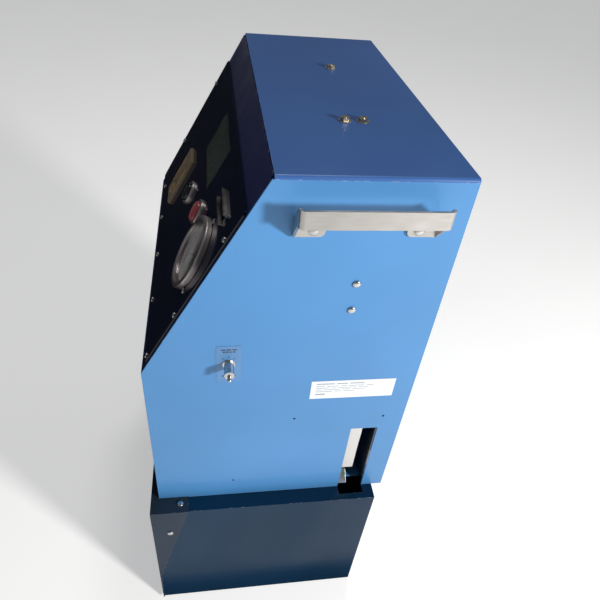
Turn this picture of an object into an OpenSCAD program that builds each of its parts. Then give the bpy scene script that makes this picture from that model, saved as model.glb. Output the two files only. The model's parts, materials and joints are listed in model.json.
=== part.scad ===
// Ticket vending machine: a sheet-metal cabinet with a sloped front on a wider plinth.
// X is the width, the customer stands on the -Y side, Z is up and the feet stand on Z = 0.

/* [Cabinet] */
// Width over the two side panels
cabinet_w = 480; // [420:5:600]
// Depth from the front panel to the rear face
cabinet_d = 350; // [350:5:440]
// Height from the floor to the top panel
total_h = 840; // [800:5:1020]
// Height of the fold between the front panel and the sloped fascia
knee_z = 578; // [560:2:620]
// How far the fascia leans back from the fold to the top
slope_run = 145; // [120:1:170]
// Thickness of the cabinet's steel sheet
sheet = 2; // [1.5:0.5:2.5]
// Outer bend radius of the top panel's long edges
edge_r = 4; // [3:0.5:6]

/* [Plinth] */
// Height of the plinth's ledge over the floor
plinth_h = 296; // [280:2:320]
// How far the plinth stands out past each side panel
plinth_side = 24; // [14:1:40]
// How far the plinth stands out in front
plinth_front = 10; // [6:1:20]
// How far the plinth's rear wall is set in from the rear face
plinth_inset = 16; // [8:1:30]
// Length of the front cover's cheek along the ledge
cheek_d = 54; // [40:1:80]
// Height of the front cover's slanted cheek
cheek_h = 205; // [120:5:230]
// Leg of the base frame's angle iron
angle_leg = 25; // [20:1:40]
// Thickness of the base frame's angle iron
angle_t = 3; // [2:0.5:5]
// Radius of the floor anchor holes
anchor_r = 4.5; // [3:0.5:6]
// Distance of the anchor holes from the plinth's side walls
anchor_in = 14; // [12:1:16]
// Height of the rubber feet
foot_h = 5; // [3:1:12]
// Radius of the rubber feet
foot_r = 12; // [8:1:12]

/* [Handles] */
// Length of the grip strip
grip_l = 154; // [120:2:180]
// Width of the grip strip
strip_w = 20; // [16:1:26]
// Thickness of the grip strip
strip_t = 3; // [2:0.5:4]
// Distance from the side panel to the grip's outer face
standoff = 32; // [28:1:40]
// How much higher the grip sits than its feet
grip_rise = 29; // [15:1:35]
// Distance between the two handle screws
handle_pitch = 111; // [90:1:130]
// Distance of the front handle screw behind the front panel
handle_y = 187; // [180:1:200]
// Depth of the handle screws below the top
handle_drop = 58; // [50:1:70]
// Height of the handle's feet
handle_foot_h = 24; // [20:1:30]

/* [Toggle switch] */
// Distance of the toggle switch behind the front panel
toggle_y = 104; // [90:1:120]
// Height of the toggle switch
toggle_z = 590; // [570:1:620]
// Radius of the threaded bush
bush_r = 6; // [5:0.5:7]
// Width of the hexagon nut across its corners
nut_w = 16; // [14:0.5:20]
// Length of the lever outside the bush
lever_l = 17; // [12:1:22]
// Rest angle of the lever below the level
lever_tilt = 12; // [8:1:13]

/* [Dial] */
// Place of the dial's centre to the right of the middle
dial_x = 169; // [150:1:180]
// Place of the dial's centre up the slope
dial_up = 141; // [130:1:150]
// Outer radius of the dial's bezel
dial_r = 45; // [38:1:50]
// Width of the bezel's rim
dial_rim = 7; // [5:0.5:10]
// Height of the bezel over the overlay
dial_proud = 8; // [6:0.5:12]
// Depth of the dial's case behind the overlay
dial_depth = 26; // [20:1:30]
// Radius of the circle that the three flange screws stand on
dial_screw_r = 49; // [47:0.5:52]

/* [Front panel fittings] */
// Gap from the knee to the overlay's lower edge
overlay_low = 14; // [8:1:20]
// Distance from the knee to the overlay's upper edge
overlay_high = 250; // [240:1:270]
// Gap from the side panel's outer face to the overlay
overlay_side = 4; // [3:0.5:10]
// Thickness of the glossy overlay
overlay_t = 3; // [2:0.5:4]
// Middle of the display window from the machine's middle
display_x = 8; // [0:1:20]
// Middle of the display window up the slope
display_up = 203; // [195:1:215]
// Width of the display window
display_w = 120; // [90:2:140]
// Height of the display window
display_h = 62; // [40:1:70]
// Middle of the banknote inlet from the machine's middle
note_x = -100; // [-120:1:-90]
// Middle of the banknote inlet up the slope
note_up = 92; // [85:1:110]
// Width of the banknote inlet's bezel
note_w = 52; // [44:1:60]
// Height of the banknote inlet's bezel
note_h = 82; // [70:1:96]
// Middle of the coin inlet from the machine's middle
coin_x = 168; // [150:1:180]
// Middle of the coin inlet up the slope
coin_up = 211; // [208:1:220]
// Width of the coin inlet's plate
coin_w = 66; // [56:1:80]
// Height of the coin inlet's plate
coin_h = 22; // [18:1:26]
// Radius of a push button's cap
button_r = 13; // [10:0.5:15]
// Radius of a push button's bezel
button_rim_r = 17; // [15:0.5:19]
// Travel of a push button
button_travel = 4; // [2:0.5:6]

/* [Ticket outlet] */
// Distance of the outlet slot's front edge behind the front panel
slot_y = 278; // [265:1:285]
// Width of the outlet slot
slot_w = 39; // [30:1:44]
// Height of the outlet slot
slot_h = 150; // [120:1:160]
// Width of the ticket roll
ticket_w = 25; // [20:1:30]
// Radius of a full ticket roll
roll_r = 55; // [40:1:58]
// Radius of the roll's core hole
core_r = 12.5; // [10:0.5:19]
// Radius of the feed roller
platen_r = 9; // [7:0.5:10]
// Teeth of the feed roller's gear
gear_teeth = 30; // [28:1:32]
// Teeth of the motor pinion
pinion_teeth = 24; // [22:1:26]
// Distance of the ticket path from the side panel's outer face
web_in = 15; // [13:1:18]

/* [Rear door and cash drawer] */
// Width of the rear door
door_w = 406; // [380:2:420]
// Gap from the ledge to the rear door
door_low = 34; // [30:1:50]
// Gap from the rear door to the top
door_high = 40; // [36:1:60]
// Width of the cash drawer
drawer_w = 200; // [160:5:220]
// Length of the cash drawer
drawer_l = 222; // [210:2:230]
// Height of the cash drawer
drawer_h = 110; // [80:2:120]
// Opening travel of the cash drawer
drawer_travel = 190; // [150:5:200]

/* [Hidden] */
$fn = 48;

// Clearances
fit = 0.3;
run = 0.05;
seam = 0.1;
cut = 1;

// Cabinet faces
side_x = cabinet_w / 2;
inner_x = side_x - sheet;
front_y = -cabinet_d / 2;
rear_y = cabinet_d / 2;
rise = total_h - knee_z;
slope_l = sqrt(rise * rise + slope_run * slope_run);
slope_a = atan2(rise, slope_run);
fascia_l = slope_run * cos(slope_a) + (rise - sheet) * sin(slope_a) - 0.2;
front_top_z = knee_z - sheet / tan(slope_a) - 0.1;
inside_top_z = total_h - sheet;
floor_z = plinth_h + sheet;

// Plinth faces
plinth_x = side_x + plinth_side;
plinth_front_y = front_y - plinth_front;
plinth_rear_y = rear_y - plinth_inset;
ledge_open_x = side_x - 40;
ledge_open_front = front_y + 35;
ledge_open_rear = plinth_rear_y - 25;
notch_d = 14;
foot_front_y = plinth_front_y + sheet + foot_r + 1;
foot_rear_y = plinth_rear_y - sheet - foot_r - 1;

// Fasteners
screw_r = 2.5;
screw_head_r = 5;
screw_head_h = 3;
fascia_screw_r = 1.5;
fascia_head_r = 3.5;
fascia_head_h = 2.2;
overlay_screw_in = 10;
overlay_screw_pitch = 103;
overlay_screw_ups = [94, 209];
side_screw_y = front_y + 243.5;
side_screw_zs = [673, 711];
top_bolt_places = [[104, 238], [104, 259.5], [-82, 255]];
top_bolt_r = 3;
top_bolt_l = 10;
top_nut_r = 5.8;
top_nut_h = 4;
top_washer_r = 7;
top_washer_t = 1.2;
cover_screw_r = 2;
cover_head_r = 4;
cover_head_h = 2.4;
cover_screw_in = 12;
handle_head_r = 5.5;
handle_head_h = 3.5;
screw_tail = 3;

// Handle
handle_front_y = front_y + handle_y;
handle_mid_y = handle_front_y + handle_pitch / 2;
handle_foot_z = total_h - handle_drop;
handle_foot_l = 34;
handle_bend_r = 5;

// Toggle
toggle_yy = front_y + toggle_y;
plate_w = 30;
plate_h = 60;
plate_t = 0.5;
bush_l = 9;
nut_t = 3;
washer_t = 1;
toggle_case = [26, 17, 28];
toggle_well_deep = 6;
lever_ball_r = 3.6;
lever_neck_r = 1.6;
lever_tip_r = 2.8;
lever_pivot = 4;
lever_reach = bush_l - lever_pivot + lever_l;
pivot_pin_r = 1;
pivot_pin_l = 2 * lever_ball_r + 2.4;

// Small unused holes in the right side, as distance behind the front and height
spare_holes = [[111, 334], [193, 476], [320, 472]];
spare_r = 2;

// Label
label_y = front_y + 210;
label_z = 517;
label_w = 113;
label_h = 34;
label_t = 0.5;

// Dial's inner pieces
dial_wall = 1.5;
dial_face_deep = 4;
dial_hub_r = 2;
dial_hub_deep = 10;
glass_out = 2.5;
glass_t = 2;
pointer_a = 218;
pointer_l = 30;
pointer_tail = 9;
pointer_w = 3.2;
pointer_tip_w = 0.8;
pointer_t = 1;
pointer_seat = 0.4;
pointer_low = -2;
pointer_hub_r = 4;
pointer_hub_h = 2.5;
pointer_stem_l = 5;

// Display, banknote unit and coin inlet
window_t = 2;
display_lip = 1;
display_board_x = 8;
display_board_y = 6;
display_deep = 14;
note_deep = 72;
note_mouth = [34, 3];
note_rim = 5;
note_corner = 4;
note_floor = 2;
coin_slot = [32, 3.2];
coin_rim = 8;
coin_throat = 8;
coin_plate_t = 1.5;
coin_rail = [3, 4];
coin_rail_at = 6;
coin_rail_in = 4;
coin_neck = [12, 14];

// Push buttons, as place across and place up the slope
start_at = [2, 124];
stop_at = [92, 150];
button_rim_h = 4;
button_cap_h = 3;
button_low = -2;
button_wall = 1;
stem_r = 6;
stem_l = 12;
switch_deep = 30;
switch_wall = 3;
switch_floor = 8;
switch_cup = 8;

// Ticket mechanism
slot_front_y = front_y + slot_y;
slot_rear_y = slot_front_y + slot_w;
slot_top_z = plinth_h + slot_h;
web_x = side_x - web_in;
web_t = 0.4;
web_low_z = plinth_h + 30;
guide_t = 1.5;
guide_gap = 4;
guide_w = 21;
guide_drop = 12;
cheek_in = 46;
lip = [24, 14, 1.5];
lip_a = 40;
lip_rise = 16;
lip_in = 6;
plate_front_y = slot_front_y - 5;
plate_rear_y = slot_rear_y + 1;
ticket_y = slot_front_y - 2;
platen_x = web_x - fit - platen_r;
platen_z = slot_top_z + 74;
roll_x = web_x - fit - roll_r;
roll_z = platen_z + 100;
bracket_low_z = slot_top_z + 24;
bracket_x = roll_x - roll_r - 5;
bracket_top_z = side_screw_zs[1] + 14;
bracket_step = 30;
bracket_flange = 12;
bracket_under = 14;
bracket_clip = 10;
spindle_r = core_r - 2;
platen_gap = 1.5;
platen_tail = 2;
platen_shaft_r = 3;
motor_shaft_r = 2.5;
motor_r = 16;
motor_l = 28;
motor_bore_l = 8;
motor_tail = 6;
gear_m = 1;
gear_w = 6;
gear_gap = 2;
gear_dist = gear_m * (gear_teeth + pinion_teeth) / 2;
motor_dir = 200;
motor_x = platen_x + gear_dist * cos(motor_dir);
motor_z = platen_z + gear_dist * sin(motor_dir);
gear_y = plate_front_y - gear_gap - gear_w;

// Rear door, its hinges and its lock
door_low_z = plinth_h + door_low;
door_high_z = total_h - door_high;
door_gap = 2;
door_edge = 12;
louvres = 8;
louvre_x = 90;
louvre_w = 90;
louvre_h = 5;
louvre_pitch = 14;
louvre_low = 60;
hinge_x = -door_w / 2 - door_gap / 2;
knuckle_r = 3.5;
hinge_y = rear_y + knuckle_r + fit;
hinge_pin_r = 1.8;
knuckle_l = 14;
hinge_leaf = 18;
hinge_leaf_t = 1.5;
hinge_in = 70;
hinge_zs = [door_low_z + hinge_in, door_high_z - hinge_in];
lock_x = door_w / 2 - 24;
lock_z = (door_low_z + door_high_z) / 2;
lock_stem_r = 7;
lock_knob_r = 14;
lock_grip_t = 6;
lock_grip_in = 2;
cam_l = 38;
cam_w = 12;
cam_t = 3;

// Coin path and cash drawer
chute_x = coin_x - 3;
chute_y = front_y + 145;
chute_w = 30;
chute_wall = 1.5;
coin_unit_low = knee_z + 122;
coin_unit_side = 10;
coin_unit_front = 20;
coin_unit_back = 30;
coin_unit_over = 20;
coin_duct = 26;
coin_duct_top = 30;
coin_slot_deep = 60;
chute_gap = 8;
drawer_x = 100;
drawer_wall = 1.5;
drawer_floor_z = foot_h + angle_leg + sheet + fit;
drawer_front_y = plinth_rear_y - drawer_l;
drawer_face = 5;
pull_out = 16;
pull_l = 86;
pull_post_at = 40;
pull_t = 6;
pull_h = 10;
runner_foot = 14;
runner_back = 6;
runner_h = 28;

// Cable entry
gland_x = -170;
gland_z = 70;
gland_bore_r = 4;
gland_r = 9;
gland_nut_t = 6;
gland_nut_over = 3;
gland_taper = 2;

// Electrics on the floor plate
supply_at = [-210, -40];
supply_size = [100, 160, 42];
supply_vents = 8;
supply_vent = [50, 4, 4];
supply_vent_at = [10, 12];
board_at = [-75, -27];
board_size = [102, 134, 1.6];
board_leg_h = 12;
board_leg_r = 3;
board_leg_in = 7;
// Each part on the board as place, width, depth and height
board_parts = [[25, 47, 30, 30, 3], [3, 97, 10, 34, 10.4], [75, 5, 22, 24, 14.4], [15, 3, 40, 10, 9.4]];

module mirror_x() {
    children();
    mirror([1, 0, 0]) children();
}

// Local X runs across, local Y up the slope and local Z out of the fascia
module on_slope(x = 0, up = 0, out = 0) {
    translate([0, front_y, knee_z])
        rotate([slope_a, 0, 0])
            translate([x, up, out])
                children();
}

module slab(low, high) {
    translate(low) cube(high - low);
}

module tube_z(r_out, r_in, h) {
    difference() {
        cylinder(r = r_out, h = h);
        translate([0, 0, -cut]) cylinder(r = r_in, h = h + 2 * cut);
    }
}

module rounded_plate(w, h, t, r) {
    linear_extrude(t)
        union() {
            square([w - 2 * r, h], center = true);
            square([w, h - 2 * r], center = true);
            for (sx = [-1, 1], sy = [-1, 1])
                translate([sx * (w / 2 - r), sy * (h / 2 - r)]) circle(r);
        }
}

// A pan head screw whose head stands on the plane Z = 0 and whose shank goes down
module pan_screw(r, head_r, head_h, length) {
    translate([0, 0, -length]) cylinder(r = r, h = length);
    rotate_extrude()
        difference() {
            intersection() {
                translate([0, -head_r + head_h]) circle(head_r * 1.12);
                square([head_r, head_h]);
            }
            translate([-cut, head_h * 0.6]) square([head_r * 0.16 + cut, head_h]);
        }
}

// ---- Plinth ----

module plinth_shell() {
    color([0.07, 0.10, 0.16])
        difference() {
            slab([-plinth_x, plinth_front_y, foot_h], [plinth_x, plinth_rear_y, plinth_h]);
            slab([-plinth_x + sheet, plinth_front_y + sheet, foot_h - cut],
                [plinth_x - sheet, plinth_rear_y - sheet, plinth_h - sheet]);
            slab([-ledge_open_x, ledge_open_front, plinth_h - sheet - cut],
                [ledge_open_x, ledge_open_rear, plinth_h + cut]);
            ledge_notch();
            drawer_mouth();
            translate([gland_x, plinth_rear_y - sheet - cut, gland_z])
                rotate([-90, 0, 0]) cylinder(r = gland_r, h = sheet + 2 * cut);
            cover_screw_places() translate([0, 0, -sheet - cut]) cylinder(r = cover_screw_r,
                h = 2 * (sheet + cut));
        }
}

module ledge_notch() {
    slab([inner_x - notch_d, slot_front_y, plinth_h - sheet - cut],
        [side_x + notch_d, slot_rear_y, plinth_h + cut]);
}

module drawer_mouth() {
    slab([drawer_x - drawer_w / 2 - 2 * fit, plinth_rear_y - sheet - cut, drawer_floor_z - 2 * fit],
        [drawer_x + drawer_w / 2 + 2 * fit, plinth_rear_y + cut, drawer_floor_z + drawer_h + 2 * fit]);
}

// The front cover's screws: one on each ledge and one on each cheek
module cover_screw_places() {
    mirror_x() {
        translate([side_x + plinth_side / 2, plinth_front_y + cheek_d - cover_screw_in, plinth_h])
            children();
        translate([plinth_x, plinth_front_y + cheek_d * 0.45, plinth_h - cheek_h * 0.28])
            rotate([0, 90, 0]) children();
    }
}

module cheek_outline() {
    polygon([
        [plinth_front_y, plinth_h + sheet],
        [plinth_front_y + cheek_d, plinth_h + sheet],
        [plinth_front_y + cheek_d, plinth_h],
        [plinth_front_y, plinth_h - cheek_h]]);
}

module plinth_cover() {
    color([0.11, 0.12, 0.15])
        difference() {
            union() {
                slab([-plinth_x - sheet, plinth_front_y - sheet, foot_h],
                    [plinth_x + sheet, plinth_front_y, plinth_h + sheet]);
                mirror_x() {
                    translate([plinth_x, 0, 0])
                        rotate([90, 0, 90])
                            linear_extrude(sheet) cheek_outline();
                    slab([side_x + fit, plinth_front_y, plinth_h],
                        [plinth_x + sheet, plinth_front_y + cheek_d, plinth_h + sheet]);
                }
                slab([-side_x, plinth_front_y, plinth_h], [side_x, front_y - fit, plinth_h + sheet]);
            }
            cover_screw_places() translate([0, 0, -cut]) cylinder(r = cover_screw_r, h = sheet + 2 * cut);
        }
}

module angle_bar_y(x, y0, y1, side) {
    slab([min(x, x + side * angle_leg), y0, foot_h], [max(x, x + side * angle_leg), y1, foot_h + angle_t]);
    slab([min(x, x + side * angle_t), y0, foot_h], [max(x, x + side * angle_t), y1, foot_h + angle_leg]);
}

module base_frame() {
    x_in = plinth_x - sheet;
    y0 = plinth_front_y + sheet;
    y1 = plinth_rear_y - sheet;
    color([0.25, 0.26, 0.28])
        difference() {
            union() {
                angle_bar_y(-x_in, y0, y1, 1);
                angle_bar_y(x_in, y0, y1, -1);
                slab([-x_in, y0, foot_h], [x_in, y0 + angle_leg, foot_h + angle_t]);
                slab([-x_in, y0, foot_h], [x_in, y0 + angle_t, foot_h + angle_leg]);
                slab([-x_in, y1 - angle_leg, foot_h], [x_in, y1, foot_h + angle_t]);
                for (s = [-1, 1])
                    translate([drawer_x + s * (drawer_w / 2 + angle_t), 0, 0])
                        slab([-angle_t, y0, foot_h], [angle_t, y1, foot_h + angle_leg]);
            }
            anchor_places() translate([0, 0, -cut]) cylinder(r = anchor_r, h = angle_t + 2 * cut);
        }
}

module anchor_places() {
    for (sx = [-1, 1], y = [plinth_front_y + sheet + 60, plinth_rear_y - sheet - 60])
        translate([sx * (plinth_x - sheet - anchor_in), y, foot_h]) children();
}

module foot(sx, y) {
    color([0.06, 0.06, 0.07])
        translate([sx * (plinth_x - sheet - foot_r - 1), y, 0])
            rotate_extrude()
                polygon([[0, 0], [foot_r - 1, 0], [foot_r, 1], [foot_r - 1.5, foot_h], [0, foot_h]]);
}

module foot_front_left() { foot(-1, foot_front_y); }
module foot_front_right() { foot(1, foot_front_y); }
module foot_rear_left() { foot(-1, foot_rear_y); }
module foot_rear_right() { foot(1, foot_rear_y); }

// ---- Cabinet sheets ----

module floor_plate() {
    color([0.20, 0.42, 0.68])
        difference() {
            slab([-inner_x, front_y + sheet, plinth_h], [inner_x, plinth_rear_y, floor_z]);
            slab([chute_x - chute_w / 2 - fit, chute_y - chute_w / 2 - fit, plinth_h - cut],
                [chute_x + chute_w / 2 + fit, chute_y + chute_w / 2 + fit, floor_z + cut]);
            slab([inner_x - notch_d, slot_front_y, plinth_h - cut],
                [inner_x + cut, slot_rear_y, floor_z + cut]);
        }
}

module side_outline() {
    cap_z = total_h - edge_r;
    polygon([
        [front_y, plinth_h],
        [rear_y, plinth_h],
        [rear_y, cap_z],
        [front_y + slope_run * (cap_z - knee_z) / rise, cap_z],
        [front_y, knee_z]]);
}

module side_sheet() {
    translate([inner_x, 0, 0])
        rotate([90, 0, 90])
            linear_extrude(sheet) side_outline();
}

// Places a hole's axis along X at a distance behind the front panel and a height
module side_hole(y_back, z, r) {
    translate([inner_x - cut, front_y + y_back, z])
        rotate([0, 90, 0]) cylinder(r = r, h = sheet + 2 * cut);
}

module right_side() {
    color([0.33, 0.58, 0.83])
        difference() {
            side_sheet();
            slab([inner_x - cut, slot_front_y, plinth_h - cut], [side_x + cut, slot_rear_y, slot_top_z]);
            for (i = [0, 1]) side_hole(handle_y + i * handle_pitch, handle_foot_z, screw_r);
            for (z = side_screw_zs) side_hole(side_screw_y - front_y, z, screw_r);
            for (h = spare_holes) side_hole(h[0], h[1], spare_r);
            side_hole(toggle_y, toggle_z, bush_r);
        }
}

module left_side() {
    color([0.33, 0.58, 0.83])
        mirror([1, 0, 0])
            difference() {
                side_sheet();
                for (i = [0, 1]) side_hole(handle_y + i * handle_pitch, handle_foot_z, screw_r);
            }
}

module top_panel() {
    top_y = front_y + slope_run;
    color([0.24, 0.36, 0.55])
        difference() {
            translate([0, rear_y, 0])
                rotate([90, 0, 0])
                    linear_extrude(rear_y - top_y) top_section();
            for (p = top_bolt_places)
                translate([p[0], front_y + p[1], total_h - sheet - cut])
                    cylinder(r = top_bolt_r, h = sheet + 2 * cut);
        }
}

module top_section() {
    translate([-side_x + edge_r, total_h - sheet]) square([cabinet_w - 2 * edge_r, sheet]);
    for (s = [-1, 1])
        translate([s * (side_x - edge_r), total_h - edge_r])
            intersection() {
                difference() {
                    circle(edge_r);
                    circle(edge_r - sheet);
                }
                translate([s > 0 ? 0 : -edge_r, 0]) square(edge_r);
            }
}

module front_panel() {
    color([0.13, 0.17, 0.33])
        slab([-inner_x, front_y, plinth_h], [inner_x, front_y + sheet, front_top_z]);
}

module fascia() {
    color([0.13, 0.16, 0.32])
        difference() {
            on_slope(0, 0, -sheet)
                translate([-inner_x + seam, 0, 0]) cube([2 * (inner_x - seam), fascia_l, sheet]);
            // Corners cleared for the top panel's bends
            mirror_x()
                on_slope(inner_x - edge_r, fascia_l - edge_r, -sheet - cut)
                    cube([edge_r + cut, edge_r + cut, sheet + 2 * cut]);
            fascia_openings(fit);
            overlay_screw_places() screw_bore(sheet + overlay_t);
        }
}

module screw_bore(length) {
    translate([0, 0, -length - cut]) cylinder(r = fascia_screw_r, h = length + 2 * cut);
}

// Everything that passes through the fascia and the overlay, each a little wider by gap
module fascia_openings(gap) {
    deep = sheet + overlay_t + 2 * cut;
    on_slope(dial_x, dial_up, -sheet - cut) cylinder(r = dial_r - dial_rim + gap, h = deep, $fn = 96);
    on_slope(display_x, display_up, -sheet - cut)
        translate([-display_w / 2 - gap, -display_h / 2 - gap, 0])
            cube([display_w + 2 * gap, display_h + 2 * gap, deep]);
    on_slope(note_x, note_up, -sheet - cut)
        translate([-note_w / 2 + note_rim - gap, -note_h / 2 + note_rim - gap, 0])
            cube([note_w - 2 * note_rim + 2 * gap, note_h - 2 * note_rim + 2 * gap, deep]);
    on_slope(coin_x, coin_up, -sheet - cut)
        translate([-coin_w / 2 + coin_rim - gap, -coin_throat / 2 - gap, 0])
            cube([coin_w - 2 * coin_rim + 2 * gap, coin_throat + 2 * gap, deep]);
    for (p = [start_at, stop_at])
        on_slope(p[0], p[1], -sheet - cut) cylinder(r = button_r + button_wall + gap, h = deep);
}

// Screws along the overlay's two sides and along its lower edge
module overlay_screw_places() {
    edge_x = side_x - overlay_screw_in;
    mirror_x()
        for (up = overlay_screw_ups)
            on_slope(edge_x, up, overlay_t) children();
    for (i = [0:4])
        on_slope(edge_x - 2 - i * overlay_screw_pitch, overlay_low + 6, overlay_t) children();
}

module dial_screw_places() {
    for (a = [90, 210, 330])
        on_slope(dial_x + dial_screw_r * cos(a), dial_up + dial_screw_r * sin(a), overlay_t)
            children();
}

module overlay() {
    color([0.05, 0.06, 0.07])
        difference() {
            on_slope(0, (overlay_low + overlay_high) / 2, 0)
                rounded_plate(2 * (side_x - overlay_side), overlay_high - overlay_low, overlay_t, 5);
            fascia_openings(fit);
            overlay_screw_places() screw_bore(overlay_t);
            dial_screw_places() screw_bore(overlay_t);
        }
}

module rear_frame() {
    color([0.25, 0.45, 0.70])
        difference() {
            slab([-inner_x, rear_y - sheet, plinth_h], [inner_x, rear_y, total_h - sheet]);
            slab([-door_w / 2 - door_gap, rear_y - sheet - cut, door_low_z - door_gap],
                [door_w / 2 + door_gap, rear_y + cut, door_high_z + door_gap]);
            mirror_x()
                translate([side_x - edge_r, rear_y - sheet - cut, total_h - edge_r])
                    cube([edge_r, sheet + 2 * cut, edge_r]);
        }
}

// ---- Carrying handles ----

// The strip's plan outline: two inward feet, two legs and the grip, with rounded bends
module handle_plan() {
    half = grip_l / 2;
    difference() {
        rounded_channel(half, standoff, handle_bend_r);
        rounded_channel(half - strip_t, standoff - strip_t, handle_bend_r - strip_t);
    }
    for (s = [-1, 1])
        translate([0, s > 0 ? half - handle_foot_l : -half]) square([strip_t, handle_foot_l]);
}

module rounded_channel(half, out, r) {
    translate([0, -half]) square([out - r, 2 * half]);
    translate([0, -half + r]) square([out, 2 * half - 2 * r]);
    for (s = [-1, 1]) translate([out - r, s * (half - r)]) circle(r);
}

// The strip's front outline: low at the feet, rising along the legs to the grip
module handle_rise() {
    low = -handle_foot_h / 2;
    grip_low = grip_rise - strip_w / 2;
    polygon([
        [-cut, low],
        [strip_t, low],
        [standoff - strip_t, grip_low],
        [standoff + cut, grip_low],
        [standoff + cut, grip_low + strip_w],
        [standoff - strip_t, grip_low + strip_w],
        [strip_t, -low],
        [-cut, -low]]);
}

module handle() {
    color([0.80, 0.78, 0.75])
        translate([side_x, handle_mid_y, handle_foot_z])
            difference() {
                intersection() {
                    translate([0, 0, -2 * strip_w]) linear_extrude(5 * strip_w) handle_plan();
                    translate([0, grip_l, 0]) rotate([90, 0, 0]) linear_extrude(2 * grip_l) handle_rise();
                }
                for (s = [-1, 1])
                    translate([-cut, s * handle_pitch / 2, 0])
                        rotate([0, 90, 0]) cylinder(r = screw_r, h = strip_t + 2 * cut);
            }
}

module right_handle() { handle(); }
module left_handle() { mirror([1, 0, 0]) handle(); }

module handle_screws() {
    color([0.75, 0.75, 0.74])
        mirror_x()
            for (s = [-1, 1])
                translate([side_x + strip_t, handle_mid_y + s * handle_pitch / 2, handle_foot_z])
                    rotate([0, 90, 0]) pan_screw(screw_r, handle_head_r, handle_head_h,
                        sheet + strip_t + 2 * screw_tail);
}

module side_screws() {
    color([0.72, 0.72, 0.70]) {
        for (z = side_screw_zs)
            translate([side_x, side_screw_y, z])
                rotate([0, 90, 0]) pan_screw(screw_r, screw_head_r, screw_head_h,
                    2 * sheet + screw_tail + cut);
        cover_screw_places()
            translate([0, 0, sheet]) pan_screw(cover_screw_r, cover_head_r, cover_head_h,
                2 * sheet + screw_tail);
    }
}

module top_bolts() {
    color([0.62, 0.60, 0.55])
        for (p = top_bolt_places)
            translate([p[0], front_y + p[1], total_h]) {
                tube_z(top_washer_r, top_bolt_r, top_washer_t);
                translate([0, 0, top_washer_t]) cylinder(r = top_nut_r, h = top_nut_h, $fn = 6);
                translate([0, 0, -top_bolt_l]) cylinder(r = top_bolt_r,
                    h = top_bolt_l + top_washer_t + seam);
            }
}

module fascia_screws() {
    color([0.85, 0.85, 0.85]) {
        overlay_screw_places() pan_screw(fascia_screw_r, fascia_head_r, fascia_head_h,
            sheet + overlay_t + screw_tail + cut);
        dial_screw_places() pan_screw(fascia_screw_r, fascia_head_r, fascia_head_h, overlay_t);
    }
}

module info_label() {
    color([0.90, 0.92, 0.93])
        slab([side_x, label_y, label_z], [side_x + label_t, label_y + label_w, label_z + label_h]);
}

// ---- Toggle switch ----

module toggle_frame() {
    translate([side_x, toggle_yy, toggle_z]) rotate([0, 90, 0]) children();
}

module toggle_body() {
    well_r = lever_ball_r + run;
    color([0.15, 0.15, 0.16])
        toggle_frame()
            difference() {
                union() {
                    translate([-toggle_case[0] / 2, -toggle_case[1] / 2, -sheet - toggle_case[2]])
                        cube(toggle_case);
                    translate([0, 0, -sheet]) cylinder(r = bush_r, h = sheet + bush_l);
                }
                translate([0, 0, lever_pivot]) {
                    sphere(well_r);
                    cylinder(r1 = well_r - 1, r2 = well_r + 0.2, h = bush_l - lever_pivot + cut);
                    pivot_pin(pivot_pin_r + run, pivot_pin_l + 2 * seam);
                }
                translate([0, 0, -sheet - toggle_well_deep])
                    cylinder(r = well_r, h = sheet + toggle_well_deep + lever_pivot);
            }
}

// Cross pin that the lever turns on, held in the bush
module pivot_pin(r, length) {
    rotate([90, 0, 0]) cylinder(r = r, h = length, center = true);
}

module toggle_plate() {
    color([0.55, 0.68, 0.85])
        toggle_frame()
            difference() {
                translate([-plate_h / 2, -plate_w / 2, 0]) cube([plate_h, plate_w, plate_t]);
                translate([0, 0, -cut]) cylinder(r = bush_r, h = 3 * cut);
            }
}

module toggle_nut() {
    color([0.80, 0.79, 0.76])
        toggle_frame() {
            translate([0, 0, plate_t]) tube_z(nut_w / 2, bush_r, washer_t);
            translate([0, 0, plate_t + washer_t])
                difference() {
                    cylinder(r = nut_w / 2, h = nut_t, $fn = 6);
                    translate([0, 0, -cut]) cylinder(r = bush_r, h = nut_t + 2 * cut);
                }
        }
}

module toggle_lever() {
    color([0.85, 0.85, 0.86])
        toggle_frame()
            translate([0, 0, lever_pivot])
                rotate([0, lever_tilt, 0]) {
                    sphere(lever_ball_r);
                    pivot_pin(pivot_pin_r, pivot_pin_l);
                    rotate_extrude()
                        polygon([
                            [0, 0],
                            [lever_neck_r, 0],
                            [lever_tip_r, lever_reach - 2],
                            [lever_tip_r - 0.8, lever_reach],
                            [0, lever_reach]]);
                }
}

// ---- Dial ----

module dial_case() {
    r = dial_r - dial_rim;
    color([0.86, 0.84, 0.80])
        on_slope(dial_x, dial_up, 0)
            difference() {
                translate([0, 0, -dial_depth]) cylinder(r = r, h = dial_depth + overlay_t, $fn = 96);
                translate([0, 0, -dial_face_deep])
                    cylinder(r = r - dial_wall, h = dial_face_deep + overlay_t + cut, $fn = 96);
                translate([0, 0, -dial_hub_deep]) cylinder(r = dial_hub_r + run, h = dial_hub_deep);
            }
}

module dial_bezel() {
    r_in = dial_r - dial_rim;
    color([0.72, 0.70, 0.67])
        on_slope(dial_x, dial_up, overlay_t)
            difference() {
                rotate_extrude($fn = 96)
                    polygon([
                        [r_in - dial_wall, 0],
                        [dial_r, 0],
                        [dial_r, 2],
                        [dial_r - 2.5, dial_proud - 1],
                        [dial_r - 3.5, dial_proud],
                        [r_in + 1, dial_proud],
                        [r_in - dial_wall, dial_proud - 2]]);
                translate([0, 0, glass_out]) cylinder(r = r_in, h = glass_t, $fn = 96);
            }
}

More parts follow.
